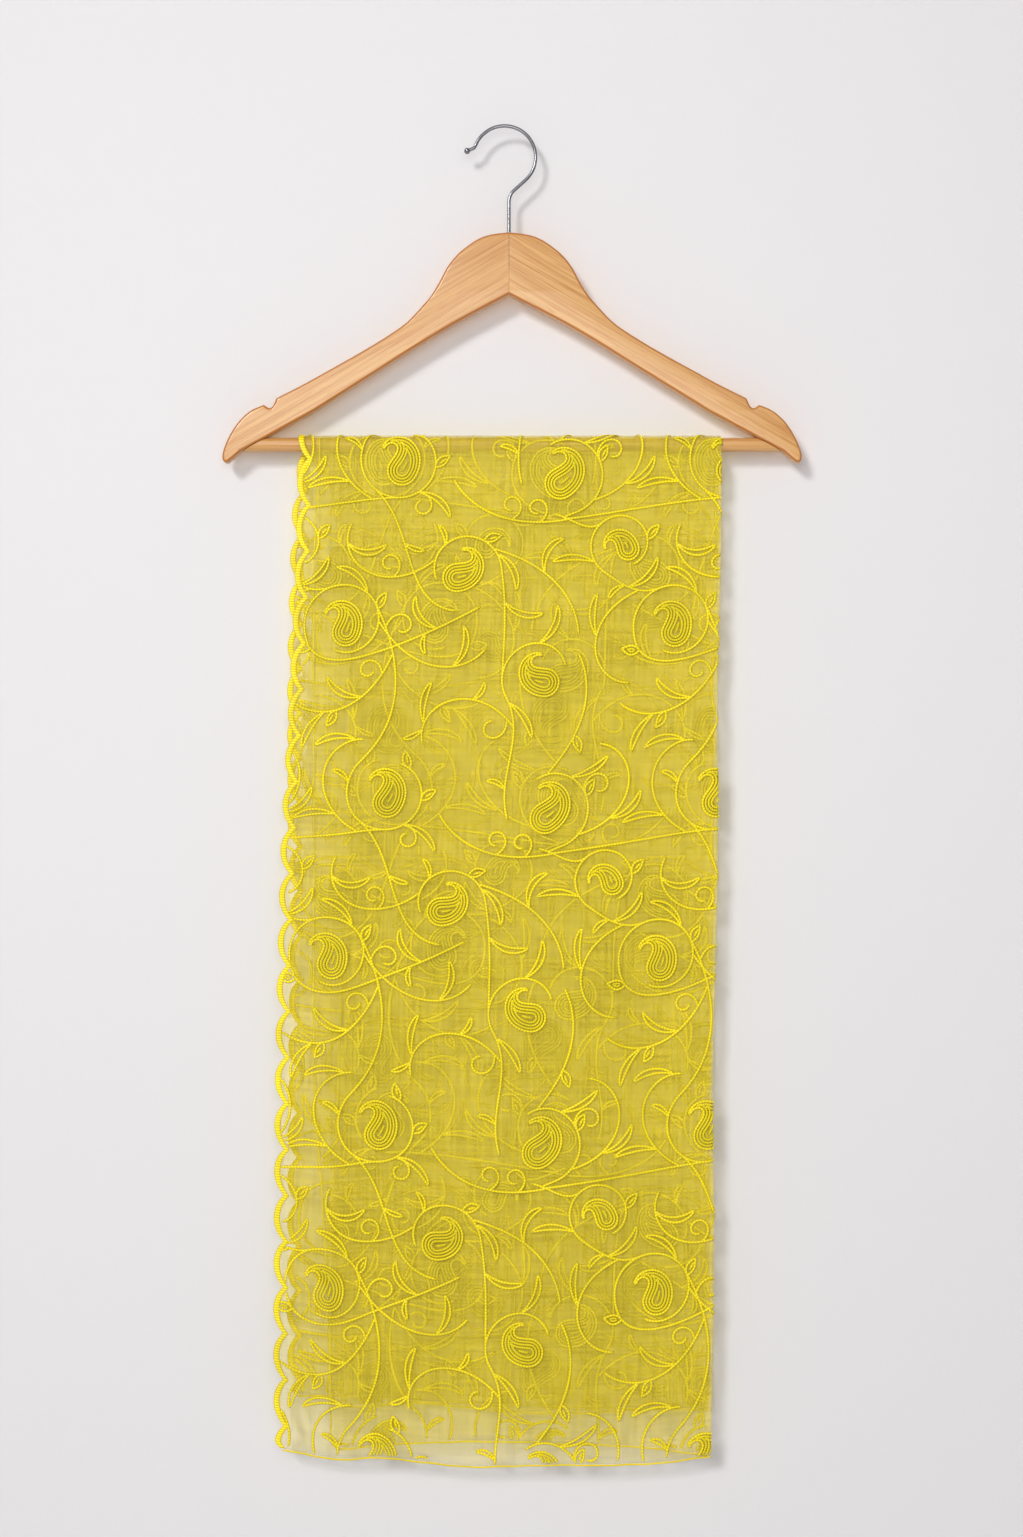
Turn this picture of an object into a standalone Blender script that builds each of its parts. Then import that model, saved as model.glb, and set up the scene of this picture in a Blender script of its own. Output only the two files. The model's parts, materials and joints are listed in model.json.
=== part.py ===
"""A sheer embroidered stole, folded lengthwise and hung over the bar of a wooden hanger.

Units are metres and +Z is up. The origin is the inside of the hook's crook, where the hanger hangs.
+X is to the right and +Y goes back, away from the viewer. The cloth's front fall is on the -Y side.
"""

import math

import bmesh
import bpy
import numpy as np
from mathutils import Vector
from mathutils.geometry import interpolate_bezier

# Hanger
ARM_THICKNESS = 0.012
ARM_EDGE_ROUND = 0.0016
ARM_REACH_LEFT = 0.2202
ARM_REACH_RIGHT = 0.2248
SEAM_X = 0.0035
SEAM_GAP = 0.0003
BAR_RADIUS = 0.0055
BAR_SIDES = 24
TENON_RADIUS = 0.0035
TENON_LENGTH = 0.012
BAR_BELOW_ORIGIN = 0.2441

# The arm's underside is straight where the bar meets it: this far from the seam at the bar's axis, and
# this much lower for each metre outwards
UNDERSIDE_AT_AXIS = 0.1957
UNDERSIDE_SLOPE = 0.5466

# Left arm's outline, mm. Round points join in smooth curves and corners are kept. The right arm is the same,
# stretched to its own reach.
ARM_OUTLINE = [
    # from_seam, above_bar, kind
    (0.0, 163.2, "corner"),
    (19.2, 159.4, "round"),
    (35.4, 149.4, "round"),
    (46.2, 137.8, "round"),
    (54.7, 122.4, "round"),
    (62.4, 110.9, "round"),
    (83.9, 89.3, "round"),
    (150.2, 50.0, "round"),
    (178.6, 35.2, "corner"),
    (182.9, 27.9, "round"),
    (188.4, 30.2, "corner"),
    (198.7, 25.4, "round"),
    (207.9, 16.9, "round"),
    (214.8, 6.2, "round"),
    (219.1, -3.9, "round"),
    (220.2, -11.0, "round"),
    (217.6, -14.2, "round"),
    (213.4, -12.0, "round"),
    (206.0, -5.6, "corner"),
    (150.2, 24.9, "corner"),
    (114.7, 47.2, "round"),
    (48.5, 88.6, "round"),
    (0.0, 114.7, "corner"),
]
OUTLINE_STEPS = 3

# Hook: bent wire, from its lower end inside the wood to the ball end
WIRE_RADIUS = 0.00135
BALL_RADIUS = 0.0021
HOOK_HOLE_RADIUS = 0.00165
STEM_IN_WOOD = 0.025
CROWN_ABOVE_BAR = 0.1632
NECK_BEND_RADIUS = 0.012
CROOK_RADIUS = 0.024
NECK_BEND = math.radians(48)
CROOK_TURN = math.radians(206)
LIP_BEND_RADIUS = 0.005
LIP_BEND = math.radians(46)
LIP_RUN = 0.002
WIRE_STEP = math.radians(12)
BALL_LATITUDES = (-10, 20, 50, 75)

# Cloth
CLOTH_WALL = 0.001
PLY_GAP = 0.0005
OPEN_SIDE_SPREAD = 0.0018
SPREAD_STARTS = 0.05
SPREAD_FULL = 0.30
INNER_PLY = BAR_RADIUS + SEAM_GAP + CLOTH_WALL / 2
OUTER_PLY = INNER_PLY + CLOTH_WALL + PLY_GAP
FOLD_RADIUS = (OUTER_PLY - INNER_PLY) / 2
PLY_COLUMNS = 13
FOLD_STEPS = 3
FALL_ROWS = 12
TURN_ROWS = 8

# Side edges of each fall, mm from the origin's plane
FRONT_SIDES = [
    # drop, outer_left, inner_left, fold
    (0, -158.2, -140.5, 166.3),
    (100, -160.7, -145.1, 165.6),
    (200, -165.4, -145.1, 162.9),
    (300, -170.9, -145.1, 163.6),
    (400, -174.0, -145.1, 161.7),
    (500, -175.9, -144.6, 159.4),
    (600, -176.6, -138.0, 160.5),
    (700, -177.1, -133.4, 159.8),
    (790, -176.6, -132.1, 157.6),
]
BACK_SIDES = [
    # drop, outer_left, inner_left, fold
    (0, -158.2, -140.5, 166.3),
    (50, -164.2, -129.0, 165.5),
    (100, -166.2, -122.5, 164.6),
    (200, -168.2, -117.6, 161.5),
    (300, -167.5, -118.4, 162.1),
    (400, -166.7, -123.2, 160.5),
    (500, -167.5, -127.8, 158.4),
    (600, -168.2, -130.9, 159.0),
    (700, -168.2, -132.8, 158.2),
    (790, -167.0, -133.2, 157.0),
]
# Lower edges, mm below the bar's axis
FRONT_HEM = [
    # x, outer_drop, inner_drop
    (-178, 768.0, 770.0),
    (-160, 771.5, 770.0),
    (-129, 776.9, 770.6),
    (-98, 775.4, 767.0),
    (-34, 782.4, 764.5),
    (45, 781.0, 765.5),
    (110, 780.6, 769.0),
    (158, 775.0, 775.0),
]
BACK_HEM = [
    # x, outer_drop, inner_drop
    (-168, 733.0, 739.0),
    (-99, 735.0, 741.0),
    (-59, 739.5, 738.0),
    (12, 746.0, 739.5),
    (66, 747.5, 742.0),
    (94, 745.0, 743.0),
    (158, 744.0, 744.0),
]
# Long soft waves across each fall: height, distance from crest to crest, where the first crest is, and how
# far the wave leans for each metre down
FRONT_WAVES = [
    # height, spacing, crest, lean
    (1.9, 150.0, -118.0, 30.0),
    (0.9, 71.0, 20.0, -45.0),
]
BACK_WAVES = [
    # height, spacing, crest, lean
    (2.0, 170.0, -60.0, -25.0),
    (1.0, 83.0, 35.0, 40.0),
]
WAVE_STARTS = 0.02
WAVE_FULL = 0.25
# Creases pressed across the cloth while it was stored folded, mm below the bar's axis
PRESSED_CREASES = [205.0, 399.0, 598.0]
CREASE_HEIGHT = 0.0011
CREASE_HALF_WIDTH = 0.012

# Scalloped border of the outer ply, and the rolled hems
BORDER_THICKNESS = 0.0012
SCALLOP_DEPTH = 0.0075
BORDER_NARROWEST = 0.0022
PANEL_EDGE_IN = SCALLOP_DEPTH + BORDER_NARROWEST + SEAM_GAP
SCALLOP_STEPS = 6
FRONT_FIRST_STEP = 4
FRONT_BORDER_STEPS = 131
BACK_FIRST_STEP = 0
BACK_BORDER_STEPS = 128
HEM_THICKNESS = 0.0013
HEM_WIDTH = 0.0014

MM = 0.001
ROUNDING = 1e-9


def column(table, name_index, at):
    """Value of a table's column at a place given in its first column, smooth through the rows."""
    places = np.array([row[0] for row in table], dtype=float) * MM
    values = np.array([row[name_index] for row in table], dtype=float) * MM
    slopes = np.gradient(values, places)
    k = int(np.clip(np.searchsorted(places, at) - 1, 0, len(places) - 2))
    width = places[k + 1] - places[k]
    t = float(np.clip((at - places[k]) / width, 0.0, 1.0))
    start = values[k] * (1 + 2 * t) * (1 - t) ** 2 + slopes[k] * width * t * (1 - t) ** 2
    end = values[k + 1] * t * t * (3 - 2 * t) - slopes[k + 1] * width * t * t * (1 - t)
    return float(start + end)


def ease(value, start, full):
    """0 below start, 1 above full, smooth between."""
    t = min(max((value - start) / (full - start), 0.0), 1.0)
    return t * t * (3 - 2 * t)


class Fall:
    """One side of the hung cloth: its edge tables, its waves and which way it faces."""

    def __init__(self, sides, hem, waves, facing):
        self.sides, self.hem, self.waves, self.facing = sides, hem, waves, facing
        self.length = max(row[1] for row in hem) * MM

    def swell(self, x, drop):
        """How far the whole fall stands out at a place, with its waves and pressed creases."""
        lift = 0.0
        for height, spacing, crest, lean in self.waves:
            phase = (x - crest * MM - lean * MM * drop) / (spacing * MM)
            lift += height * MM * (0.5 + 0.5 * math.cos(2 * math.pi * phase))
        for crease in PRESSED_CREASES:
            near = max(0.0, 1 - abs(drop - crease * MM) / CREASE_HALF_WIDTH)
            lift += CREASE_HEIGHT * near * ease(drop, WAVE_STARTS, WAVE_FULL)
        return lift * ease(drop, WAVE_STARTS, WAVE_FULL)

    def place(self, x, drop, depth):
        """World point at x, this far below the bar's axis and this far out from it."""
        out = depth + self.swell(x, drop)
        return Vector((x, self.facing * out, -BAR_BELOW_ORIGIN - drop))

    def outer(self, across, share):
        """Point of the outer ply: across runs 0 to 1 from left edge to fold, share from bar to hem."""
        drop = share * self.length
        left = column(self.sides, 1, drop) + PANEL_EDGE_IN
        right = column(self.sides, 3, drop) - FOLD_RADIUS
        x = left + across * (right - left)
        return self.place(x, share * column(self.hem, 1, x), OUTER_PLY)

    def inner(self, across, share):
        """Point of the inner ply: across runs 0 to 1 from the fold to its left edge."""
        drop = share * self.length
        left = column(self.sides, 2, drop)
        right = column(self.sides, 3, drop) - FOLD_RADIUS
        x = right + across * (left - right)
        spread = OPEN_SIDE_SPREAD * across * ease(drop, SPREAD_STARTS, SPREAD_FULL)
        return self.place(x, share * column(self.hem, 2, x), INNER_PLY - spread)

    def fold(self, turn, share):
        """Point of the lengthwise fold: turn runs 0 to 1 round it, from the outer ply to the inner."""
        start, end = self.outer(1.0, share), self.inner(0.0, share)
        middle = (start + end) / 2
        angle = math.pi * turn
        return middle + (start - middle) * math.cos(angle) + Vector((FOLD_RADIUS * math.sin(angle), 0, 0))

    def row(self, share):
        """All points across both plies at one share of the way down."""
        points = [self.outer(i / PLY_COLUMNS, share) for i in range(PLY_COLUMNS + 1)]
        points += [self.fold(i / (FOLD_STEPS + 1), share) for i in range(1, FOLD_STEPS + 1)]
        points += [self.inner(i / PLY_COLUMNS, share) for i in range(PLY_COLUMNS + 1)]
        return points

    def shares(self):
        """Shares of the way down that have a row: even ones, and three at each pressed crease."""
        rows = {i / FALL_ROWS for i in range(FALL_ROWS + 1)}
        for crease in PRESSED_CREASES:
            middle = crease * MM / self.length
            side = CREASE_HALF_WIDTH / self.length
            rows = {r for r in rows if abs(r - middle) > 2 * side or r in (0.0, 1.0)}
            rows |= {middle - side, middle, middle + side}
        return sorted(rows)


FRONT = Fall(FRONT_SIDES, FRONT_HEM, FRONT_WAVES, -1)
BACK = Fall(BACK_SIDES, BACK_HEM, BACK_WAVES, 1)


def over_bar(point, angle, lift=0.0):
    """A point of the front fall's top row, turned over the bar by an angle and lifted off it."""
    depth = lift - point.y
    return Vector((point.x, -depth * math.cos(angle), -BAR_BELOW_ORIGIN + depth * math.sin(angle)))


def material(name, colour, roughness, metallic=0.0, alpha=1.0):
    """A Principled material."""
    made = bpy.data.materials.new(name)
    made.use_nodes = True
    shader = made.node_tree.nodes["Principled BSDF"]
    shader.inputs["Base Color"].default_value = (*colour, 1.0)
    shader.inputs["Roughness"].default_value = roughness
    shader.inputs["Metallic"].default_value = metallic
    shader.inputs["Alpha"].default_value = alpha
    return made


def add_object(name, mesh, finish):
    """Link a mesh to the scene under a node's name."""
    thing = bpy.data.objects.new(name, mesh)
    thing.data.materials.append(finish)
    bpy.context.scene.collection.objects.link(thing)
    return thing


def sheet(name, rows, thickness, finish):
    """A cloth piece: a grid of points given row by row, thickened to a closed wall."""
    bm = bmesh.new()
    grid = [[bm.verts.new(point) for point in row] for row in rows]
    for upper, lower in zip(grid, grid[1:]):
        for i in range(len(upper) - 1):
            bm.faces.new((upper[i], lower[i], lower[i + 1], upper[i + 1]))
    mesh = bpy.data.meshes.new(name)
    bm.to_mesh(mesh)
    bm.free()
    piece = add_object(name, mesh, finish)
    wall = piece.modifiers.new("Wall", "SOLIDIFY")
    wall.thickness = thickness
    wall.offset = 0.0
    wall.use_even_offset = True
    return piece


def fall_shares(fall):
    """Shares of the way down a fall that have a row, from just under the seam beside the bar."""
    trim = SEAM_GAP / 2 / fall.length
    return [trim + (1 - trim) * share for share in fall.shares()]


def turn_angles():
    """Angles of the rows over the bar, a little short of the seams at both sides."""
    trim = SEAM_GAP / 2 / INNER_PLY
    return [trim + (math.pi - 2 * trim) * i / TURN_ROWS for i in range(TURN_ROWS + 1)]


def beside(point, distance):
    """The same point, further left."""
    return point - Vector((distance, 0, 0))


def net_panels(finish):
    """The three stretches of net cloth."""
    for name, fall in (("stole_front_fall", FRONT), ("stole_back_fall", BACK)):
        sheet(name, [fall.row(share) for share in fall_shares(fall)], CLOTH_WALL, finish)
    top = FRONT.row(0.0)
    sheet("stole_over_bar", [[over_bar(p, a) for p in top] for a in turn_angles()], CLOTH_WALL, finish)


def scallop_dip(position):
    """How deep the edge lies inside the scallops' tips, 0 to 1, at a position counted in scallops."""
    rise = SCALLOP_DEPTH * FRONT_BORDER_STEPS / SCALLOP_STEPS / FRONT.length
    radius = (0.25 + rise ** 2) / (2 * rise)
    offset = position - math.floor(position) - 0.5
    return (radius - math.sqrt(radius ** 2 - offset ** 2)) / rise


def along(points, part):
    """A point part of the way, 0 to 1, along a row of points that are counted by their height."""
    height = points[0].z + part * (points[-1].z - points[0].z)
    for upper, lower in zip(points, points[1:]):
        if height >= lower.z - ROUNDING:
            return upper.lerp(lower, (upper.z - height) / (upper.z - lower.z))
    return points[-1].copy()


def border_rows(fall, first_step, steps):
    """Pairs of points down one fall: the scalloped edge, and the straight edge beside the net."""
    net_edge = [fall.outer(0.0, share) for share in fall_shares(fall)]
    rows = []
    for i in range(steps + 1):
        edge = along(net_edge, i / steps)
        width = PANEL_EDGE_IN - SCALLOP_DEPTH * scallop_dip((first_step + i) / SCALLOP_STEPS)
        rows.append([beside(edge, width), beside(edge, SEAM_GAP)])
    return rows


def borders(finish):
    """The scalloped border on each stretch of the outer ply."""
    front = border_rows(FRONT, FRONT_FIRST_STEP, FRONT_BORDER_STEPS)
    sheet("scallop_border_front", front, BORDER_THICKNESS, finish)
    back = border_rows(BACK, BACK_FIRST_STEP, BACK_BORDER_STEPS)
    sheet("scallop_border_back", back, BORDER_THICKNESS, finish)
    edge = FRONT.outer(0.0, 0.0)
    rows = []
    for i, angle in enumerate(turn_angles()):
        position = FRONT_FIRST_STEP / SCALLOP_STEPS * (1 - i / TURN_ROWS)
        width = PANEL_EDGE_IN - SCALLOP_DEPTH * scallop_dip(position)
        rows.append([over_bar(beside(edge, width), angle), over_bar(beside(edge, SEAM_GAP), angle)])
    sheet("scallop_border_over_bar", rows, BORDER_THICKNESS, finish)


def below(point, distance):
    """The same point, lower."""
    return point - Vector((0, 0, distance))


def end_hem(name, fall, finish):
    """The rolled hem along a fall's lower edge, round the lengthwise fold."""
    net_edge = fall.row(1.0)
    edge = [beside(net_edge[0], BORDER_NARROWEST + SEAM_GAP)] + net_edge
    upper = [below(point, SEAM_GAP) for point in edge]
    lower = [below(point, SEAM_GAP + HEM_WIDTH) for point in edge]
    sheet(name, [upper, lower], HEM_THICKNESS, finish)


def side_hems(finish):
    """The rolled hem of the plain long side, on each stretch of the inner ply."""
    for name, fall in (("side_hem_front", FRONT), ("side_hem_back", BACK)):
        edge = [fall.inner(1.0, share) for share in fall_shares(fall)]
        rows = [[beside(p, SEAM_GAP + HEM_WIDTH), beside(p, SEAM_GAP)] for p in edge]
        sheet(name, rows, HEM_THICKNESS, finish)
    edge = FRONT.inner(1.0, 0.0)
    lift = (HEM_THICKNESS - CLOTH_WALL) / 2
    rows = []
    for angle in turn_angles():
        turned = over_bar(edge, angle, lift)
        rows.append([beside(turned, SEAM_GAP + HEM_WIDTH), beside(turned, SEAM_GAP)])
    sheet("side_hem_over_bar", rows, HEM_THICKNESS, finish)


def smooth_outline(rows):
    """Points of a closed outline: round knots get tangents along their neighbours, corners none."""
    knots = [Vector((row[0] * MM, row[1] * MM, 0)) for row in rows]
    kinds = [row[2] for row in rows]
    points = []
    for i, knot in enumerate(knots):
        j = (i + 1) % len(knots)
        length = (knots[j] - knot).length / 3
        if kinds[i] == "corner" and kinds[j] == "corner":
            points.append(knot)
            continue
        ahead = knots[j] - knots[i - 1] if kinds[i] == "round" else knots[j] - knot
        behind = knots[(j + 1) % len(knots)] - knot if kinds[j] == "round" else knots[j] - knot
        handle_a = knot + ahead.normalized() * length
        handle_b = knots[j] - behind.normalized() * length
        points += interpolate_bezier(knot, handle_a, handle_b, knots[j], OUTLINE_STEPS + 1)[:-1]
    return points


def cutter(name, radius, start, end):
    """A cylinder between two points, used only to cut a hole."""
    bm = bmesh.new()
    bmesh.ops.create_cone(bm, cap_ends=True, segments=BAR_SIDES, radius1=radius, radius2=radius,
                          depth=(end - start).length)
    mesh = bpy.data.meshes.new(name)
    bm.to_mesh(mesh)
    bm.free()
    tool = bpy.data.objects.new(name, mesh)
    tool.location = (start + end) / 2
    tool.rotation_mode = "QUATERNION"
    tool.rotation_quaternion = (end - start).to_track_quat("Z", "Y")
    tool.hide_render = True
    tool.display_type = "WIRE"
    bpy.context.scene.collection.objects.link(tool)
    return tool


def cut(thing, tool):
    """Take a tool's shape out of an object."""
    hole = thing.modifiers.new(tool.name, "BOOLEAN")
    hole.operation = "DIFFERENCE"
    hole.object = tool


def arm(name, side, reach, finish):
    """One wooden arm, with its blind hole for the bar and its half of the hook's hole."""
    stretch = reach / ARM_REACH_LEFT
    bm = bmesh.new()
    ring = []
    for point in smooth_outline(ARM_OUTLINE):
        x = SEAM_X + side * max(point.x * stretch, SEAM_GAP / 2)
        ring.append(bm.verts.new((x, -ARM_THICKNESS / 2, point.y - BAR_BELOW_ORIGIN)))
    front = bm.faces.new(ring)
    grown = bmesh.ops.extrude_face_region(bm, geom=[front])
    moved = [item for item in grown["geom"] if isinstance(item, bmesh.types.BMVert)]
    bmesh.ops.translate(bm, verts=moved, vec=(0, ARM_THICKNESS, 0))
    bmesh.ops.recalc_face_normals(bm, faces=bm.faces)
    mesh = bpy.data.meshes.new(name)
    bm.to_mesh(mesh)
    bm.free()
    thing = add_object(name, mesh, finish)
    edges = thing.modifiers.new("Rounded edges", "BEVEL")
    edges.width = ARM_EDGE_ROUND
    edges.segments = 2
    edges.limit_method = "ANGLE"
    edges.angle_limit = math.radians(60)
    edges.use_clamp_overlap = False
    axis = -BAR_BELOW_ORIGIN
    start = SEAM_X + side * (bar_end(reach) - BAR_RADIUS / UNDERSIDE_SLOPE)
    end = SEAM_X + side * (bar_end(reach) + TENON_LENGTH + SEAM_GAP)
    socket = (Vector((start, 0, axis)), Vector((end, 0, axis)))
    cut(thing, cutter(name + "_bar_hole", TENON_RADIUS + SEAM_GAP, *socket))
    top = axis + CROWN_ABOVE_BAR
    foot = Vector((SEAM_X, 0, top - STEM_IN_WOOD - SEAM_GAP))
    cut(thing, cutter(name + "_hook_hole", HOOK_HOLE_RADIUS, foot, Vector((SEAM_X, 0, top + STEM_IN_WOOD))))
    return thing


def bar_end(reach):
    """How far from the seam the bar's shoulder lies at its axis."""
    clear = SEAM_GAP * math.hypot(1, UNDERSIDE_SLOPE) / UNDERSIDE_SLOPE
    return UNDERSIDE_AT_AXIS * reach / ARM_REACH_LEFT - clear


def bar(finish):
    """The round bar: slanted shoulders against the arms' undersides and a tenon in each arm."""
    bm = bmesh.new()
    rings = []
    for side, reach in ((-1, ARM_REACH_LEFT), (1, ARM_REACH_RIGHT)):
        slope = UNDERSIDE_SLOPE * ARM_REACH_LEFT / reach
        end = bar_end(reach)
        shoulder = [(BAR_RADIUS, 0.0, True), (TENON_RADIUS, 0.0, True), (TENON_RADIUS, TENON_LENGTH, False)]
        for radius, past, slanted in shoulder if side > 0 else reversed(shoulder):
            ring = []
            for k in range(BAR_SIDES):
                angle = 2 * math.pi * k / BAR_SIDES
                y, z = radius * math.cos(angle), radius * math.sin(angle)
                x = end + past - (z / slope if slanted else 0.0)
                ring.append(bm.verts.new((SEAM_X + side * x, y, z - BAR_BELOW_ORIGIN)))
            rings.append(ring)
    for one, two in zip(rings, rings[1:]):
        for k in range(BAR_SIDES):
            j = (k + 1) % BAR_SIDES
            bm.faces.new((one[k], one[j], two[j], two[k]))
    bm.faces.new(rings[0])
    bm.faces.new(rings[-1])
    bmesh.ops.recalc_face_normals(bm, faces=bm.faces)
    mesh = bpy.data.meshes.new("hanger_bar")
    bm.to_mesh(mesh)
    bm.free()
    mesh.shade_smooth()
    return add_object("hanger_bar", mesh, finish)


def bent_wire(start, heading, runs):
    """Points along a wire that is made of straight runs and bends: (length or radius, turn)."""
    points = [start.copy()]
    place = start.copy()
    for size, turn in runs:
        steps = max(1, round(abs(turn) / WIRE_STEP))
        for _ in range(steps):
            chord = 2 * size * math.sin(abs(turn) / steps / 2) if turn else size
            heading += turn / steps / 2
            place = place + Vector((math.cos(heading), 0, math.sin(heading))) * chord
            heading += turn / steps / 2
            points.append(place.copy())
    return points, heading


def hook(finish):
    """The wire hook: stem, neck bend, crook, outward lip and ball end."""
    crook_middle = WIRE_RADIUS - CROOK_RADIUS
    rise = math.cos(NECK_BEND)
    run_up = (CROOK_RADIUS * rise - SEAM_X - NECK_BEND_RADIUS * (1 - rise)) / math.sin(NECK_BEND)
    neck = crook_middle - (CROOK_RADIUS + NECK_BEND_RADIUS) * math.sin(NECK_BEND) - run_up * rise
    foot = -BAR_BELOW_ORIGIN + CROWN_ABOVE_BAR - STEM_IN_WOOD
    route = [
        (neck - foot, 0.0),
        (NECK_BEND_RADIUS, -NECK_BEND),
        (run_up, 0.0),
        (CROOK_RADIUS, CROOK_TURN),
        (LIP_BEND_RADIUS, -LIP_BEND),
        (LIP_RUN, 0.0),
    ]
    points, heading = bent_wire(Vector((SEAM_X, 0, foot)), math.pi / 2, route)
    sizes = [1.0] * len(points)
    away = Vector((math.cos(heading), 0, math.sin(heading)))
    centre = points[-1] + away * BALL_RADIUS * math.cos(math.asin(WIRE_RADIUS / BALL_RADIUS))
    for latitude in BALL_LATITUDES:
        tilt = math.radians(latitude)
        points.append(centre + away * BALL_RADIUS * math.sin(tilt))
        sizes.append(BALL_RADIUS * math.cos(tilt) / WIRE_RADIUS)
    data = bpy.data.curves.new("hanger_hook", "CURVE")
    data.dimensions = "3D"
    data.bevel_depth = WIRE_RADIUS
    data.bevel_resolution = 2
    data.use_fill_caps = True
    spline = data.splines.new("POLY")
    spline.points.add(len(points) - 1)
    for knot, point, size in zip(spline.points, points, sizes):
        knot.co = (*point, 1.0)
        knot.radius = size
    data.materials.append(finish)
    thing = bpy.data.objects.new("hanger_hook", data)
    bpy.context.scene.collection.objects.link(thing)
    return thing


def main():
    for old in list(bpy.data.objects):
        bpy.data.objects.remove(old)
    net = material("Yellow organza net", (0.62, 0.47, 0.06), 0.55, alpha=0.7)
    thread = material("Yellow satin stitch", (0.73, 0.57, 0.03), 0.45)
    wood = material("Lacquered lotus wood", (0.75, 0.44, 0.20), 0.35)
    steel = material("Plated steel wire", (0.62, 0.62, 0.62), 0.22, metallic=1.0)
    net_panels(net)
    borders(thread)
    end_hem("end_hem_front", FRONT, thread)
    end_hem("end_hem_back", BACK, thread)
    side_hems(thread)
    arm("hanger_arm_left", -1, ARM_REACH_LEFT, wood)
    arm("hanger_arm_right", 1, ARM_REACH_RIGHT, wood)
    bar(wood)
    hook(steel)


main()
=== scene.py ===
"""Looks of a sheer embroidered stole, folded lengthwise and hung over the bar of a wooden hanger.

Units are metres and +Z is up. The cloth is described flat first: u runs across it from the tips of the
scallops, v runs along it from the front hem, over the bar, to the back hem. hang() lays it over the bar.
"""

import json
import math

import bpy
import numpy as np
from bpy.props import FloatProperty, FloatVectorProperty, PointerProperty
from mathutils import Matrix, Vector

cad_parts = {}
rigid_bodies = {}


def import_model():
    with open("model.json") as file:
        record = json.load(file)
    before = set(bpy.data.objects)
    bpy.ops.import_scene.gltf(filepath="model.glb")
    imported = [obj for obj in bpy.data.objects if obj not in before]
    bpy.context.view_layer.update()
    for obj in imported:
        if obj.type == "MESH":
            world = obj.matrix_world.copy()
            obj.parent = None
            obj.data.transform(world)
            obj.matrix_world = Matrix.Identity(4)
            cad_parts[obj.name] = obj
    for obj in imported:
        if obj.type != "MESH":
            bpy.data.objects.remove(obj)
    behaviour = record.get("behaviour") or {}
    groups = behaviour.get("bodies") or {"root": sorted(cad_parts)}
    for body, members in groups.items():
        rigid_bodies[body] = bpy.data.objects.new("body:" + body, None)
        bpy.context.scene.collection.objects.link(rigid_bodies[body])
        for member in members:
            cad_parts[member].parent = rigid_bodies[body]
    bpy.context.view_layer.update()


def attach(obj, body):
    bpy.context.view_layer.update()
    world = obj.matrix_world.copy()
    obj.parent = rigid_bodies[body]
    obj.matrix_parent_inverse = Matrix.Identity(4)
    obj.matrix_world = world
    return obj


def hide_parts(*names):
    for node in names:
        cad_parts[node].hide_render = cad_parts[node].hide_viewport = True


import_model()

bl_info = {
    "name": "Embroidered stole on a hanger",
    "version": (1, 0, 0),
    "blender": (4, 5, 0),
    "location": "View3D > Sidebar > Stole",
    "description": "Builds a net stole with corded embroidery, its wooden hanger and a studio",
    "category": "Object",
}

MM = 0.001

# How the cloth hangs
BAR_BELOW_ORIGIN = 0.2441
BAR_RADIUS = 0.0055
INNER_PLY = 0.0063
OUTER_PLY = 0.0078
INNER_PLY_OVER_BAR = 0.0062
OUTER_PLY_OVER_BAR = 0.0071
PLIES_APART_BY = 0.06
OPEN_SIDE_SPREAD = 0.0018
SPREAD_STARTS, SPREAD_FULL = 0.05, 0.30
FRONT_LENGTH = 0.7824
BACK_LENGTH = 0.7475
TURN_LENGTH = math.pi * OUTER_PLY_OVER_BAR
CLOTH_LENGTH = FRONT_LENGTH + TURN_LENGTH + BACK_LENGTH

# Side edges of each fall, mm from the origin's plane
FRONT_SIDES = [
    # drop, outer_left, inner_left, fold
    (0, -158.2, -140.5, 166.3),
    (100, -160.7, -145.1, 165.6),
    (200, -165.4, -145.1, 162.9),
    (300, -170.9, -145.1, 163.6),
    (400, -174.0, -145.1, 161.7),
    (500, -175.9, -144.6, 159.4),
    (600, -176.6, -138.0, 160.5),
    (700, -177.1, -133.4, 159.8),
    (790, -176.6, -132.1, 157.6),
]
BACK_SIDES = [
    # drop, outer_left, inner_left, fold
    (0, -158.2, -140.5, 166.3),
    (50, -164.2, -129.0, 165.5),
    (100, -166.2, -122.5, 164.6),
    (200, -168.2, -117.6, 161.5),
    (300, -167.5, -118.4, 162.1),
    (400, -166.7, -123.2, 160.5),
    (500, -167.5, -127.8, 158.4),
    (600, -168.2, -130.9, 159.0),
    (700, -168.2, -132.8, 158.2),
    (790, -167.0, -133.2, 157.0),
]
# Lower edges, mm below the bar's axis
FRONT_HEM = [
    # x, outer_drop, inner_drop
    (-178, 768.0, 770.0),
    (-160, 771.5, 770.0),
    (-129, 776.9, 770.6),
    (-98, 775.4, 767.0),
    (-34, 782.4, 764.5),
    (45, 781.0, 765.5),
    (110, 780.6, 769.0),
    (158, 775.0, 775.0),
]
BACK_HEM = [
    # x, outer_drop, inner_drop
    (-168, 733.0, 739.0),
    (-99, 735.0, 741.0),
    (-59, 739.5, 738.0),
    (12, 746.0, 739.5),
    (66, 747.5, 742.0),
    (94, 745.0, 743.0),
    (158, 744.0, 744.0),
]
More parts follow.
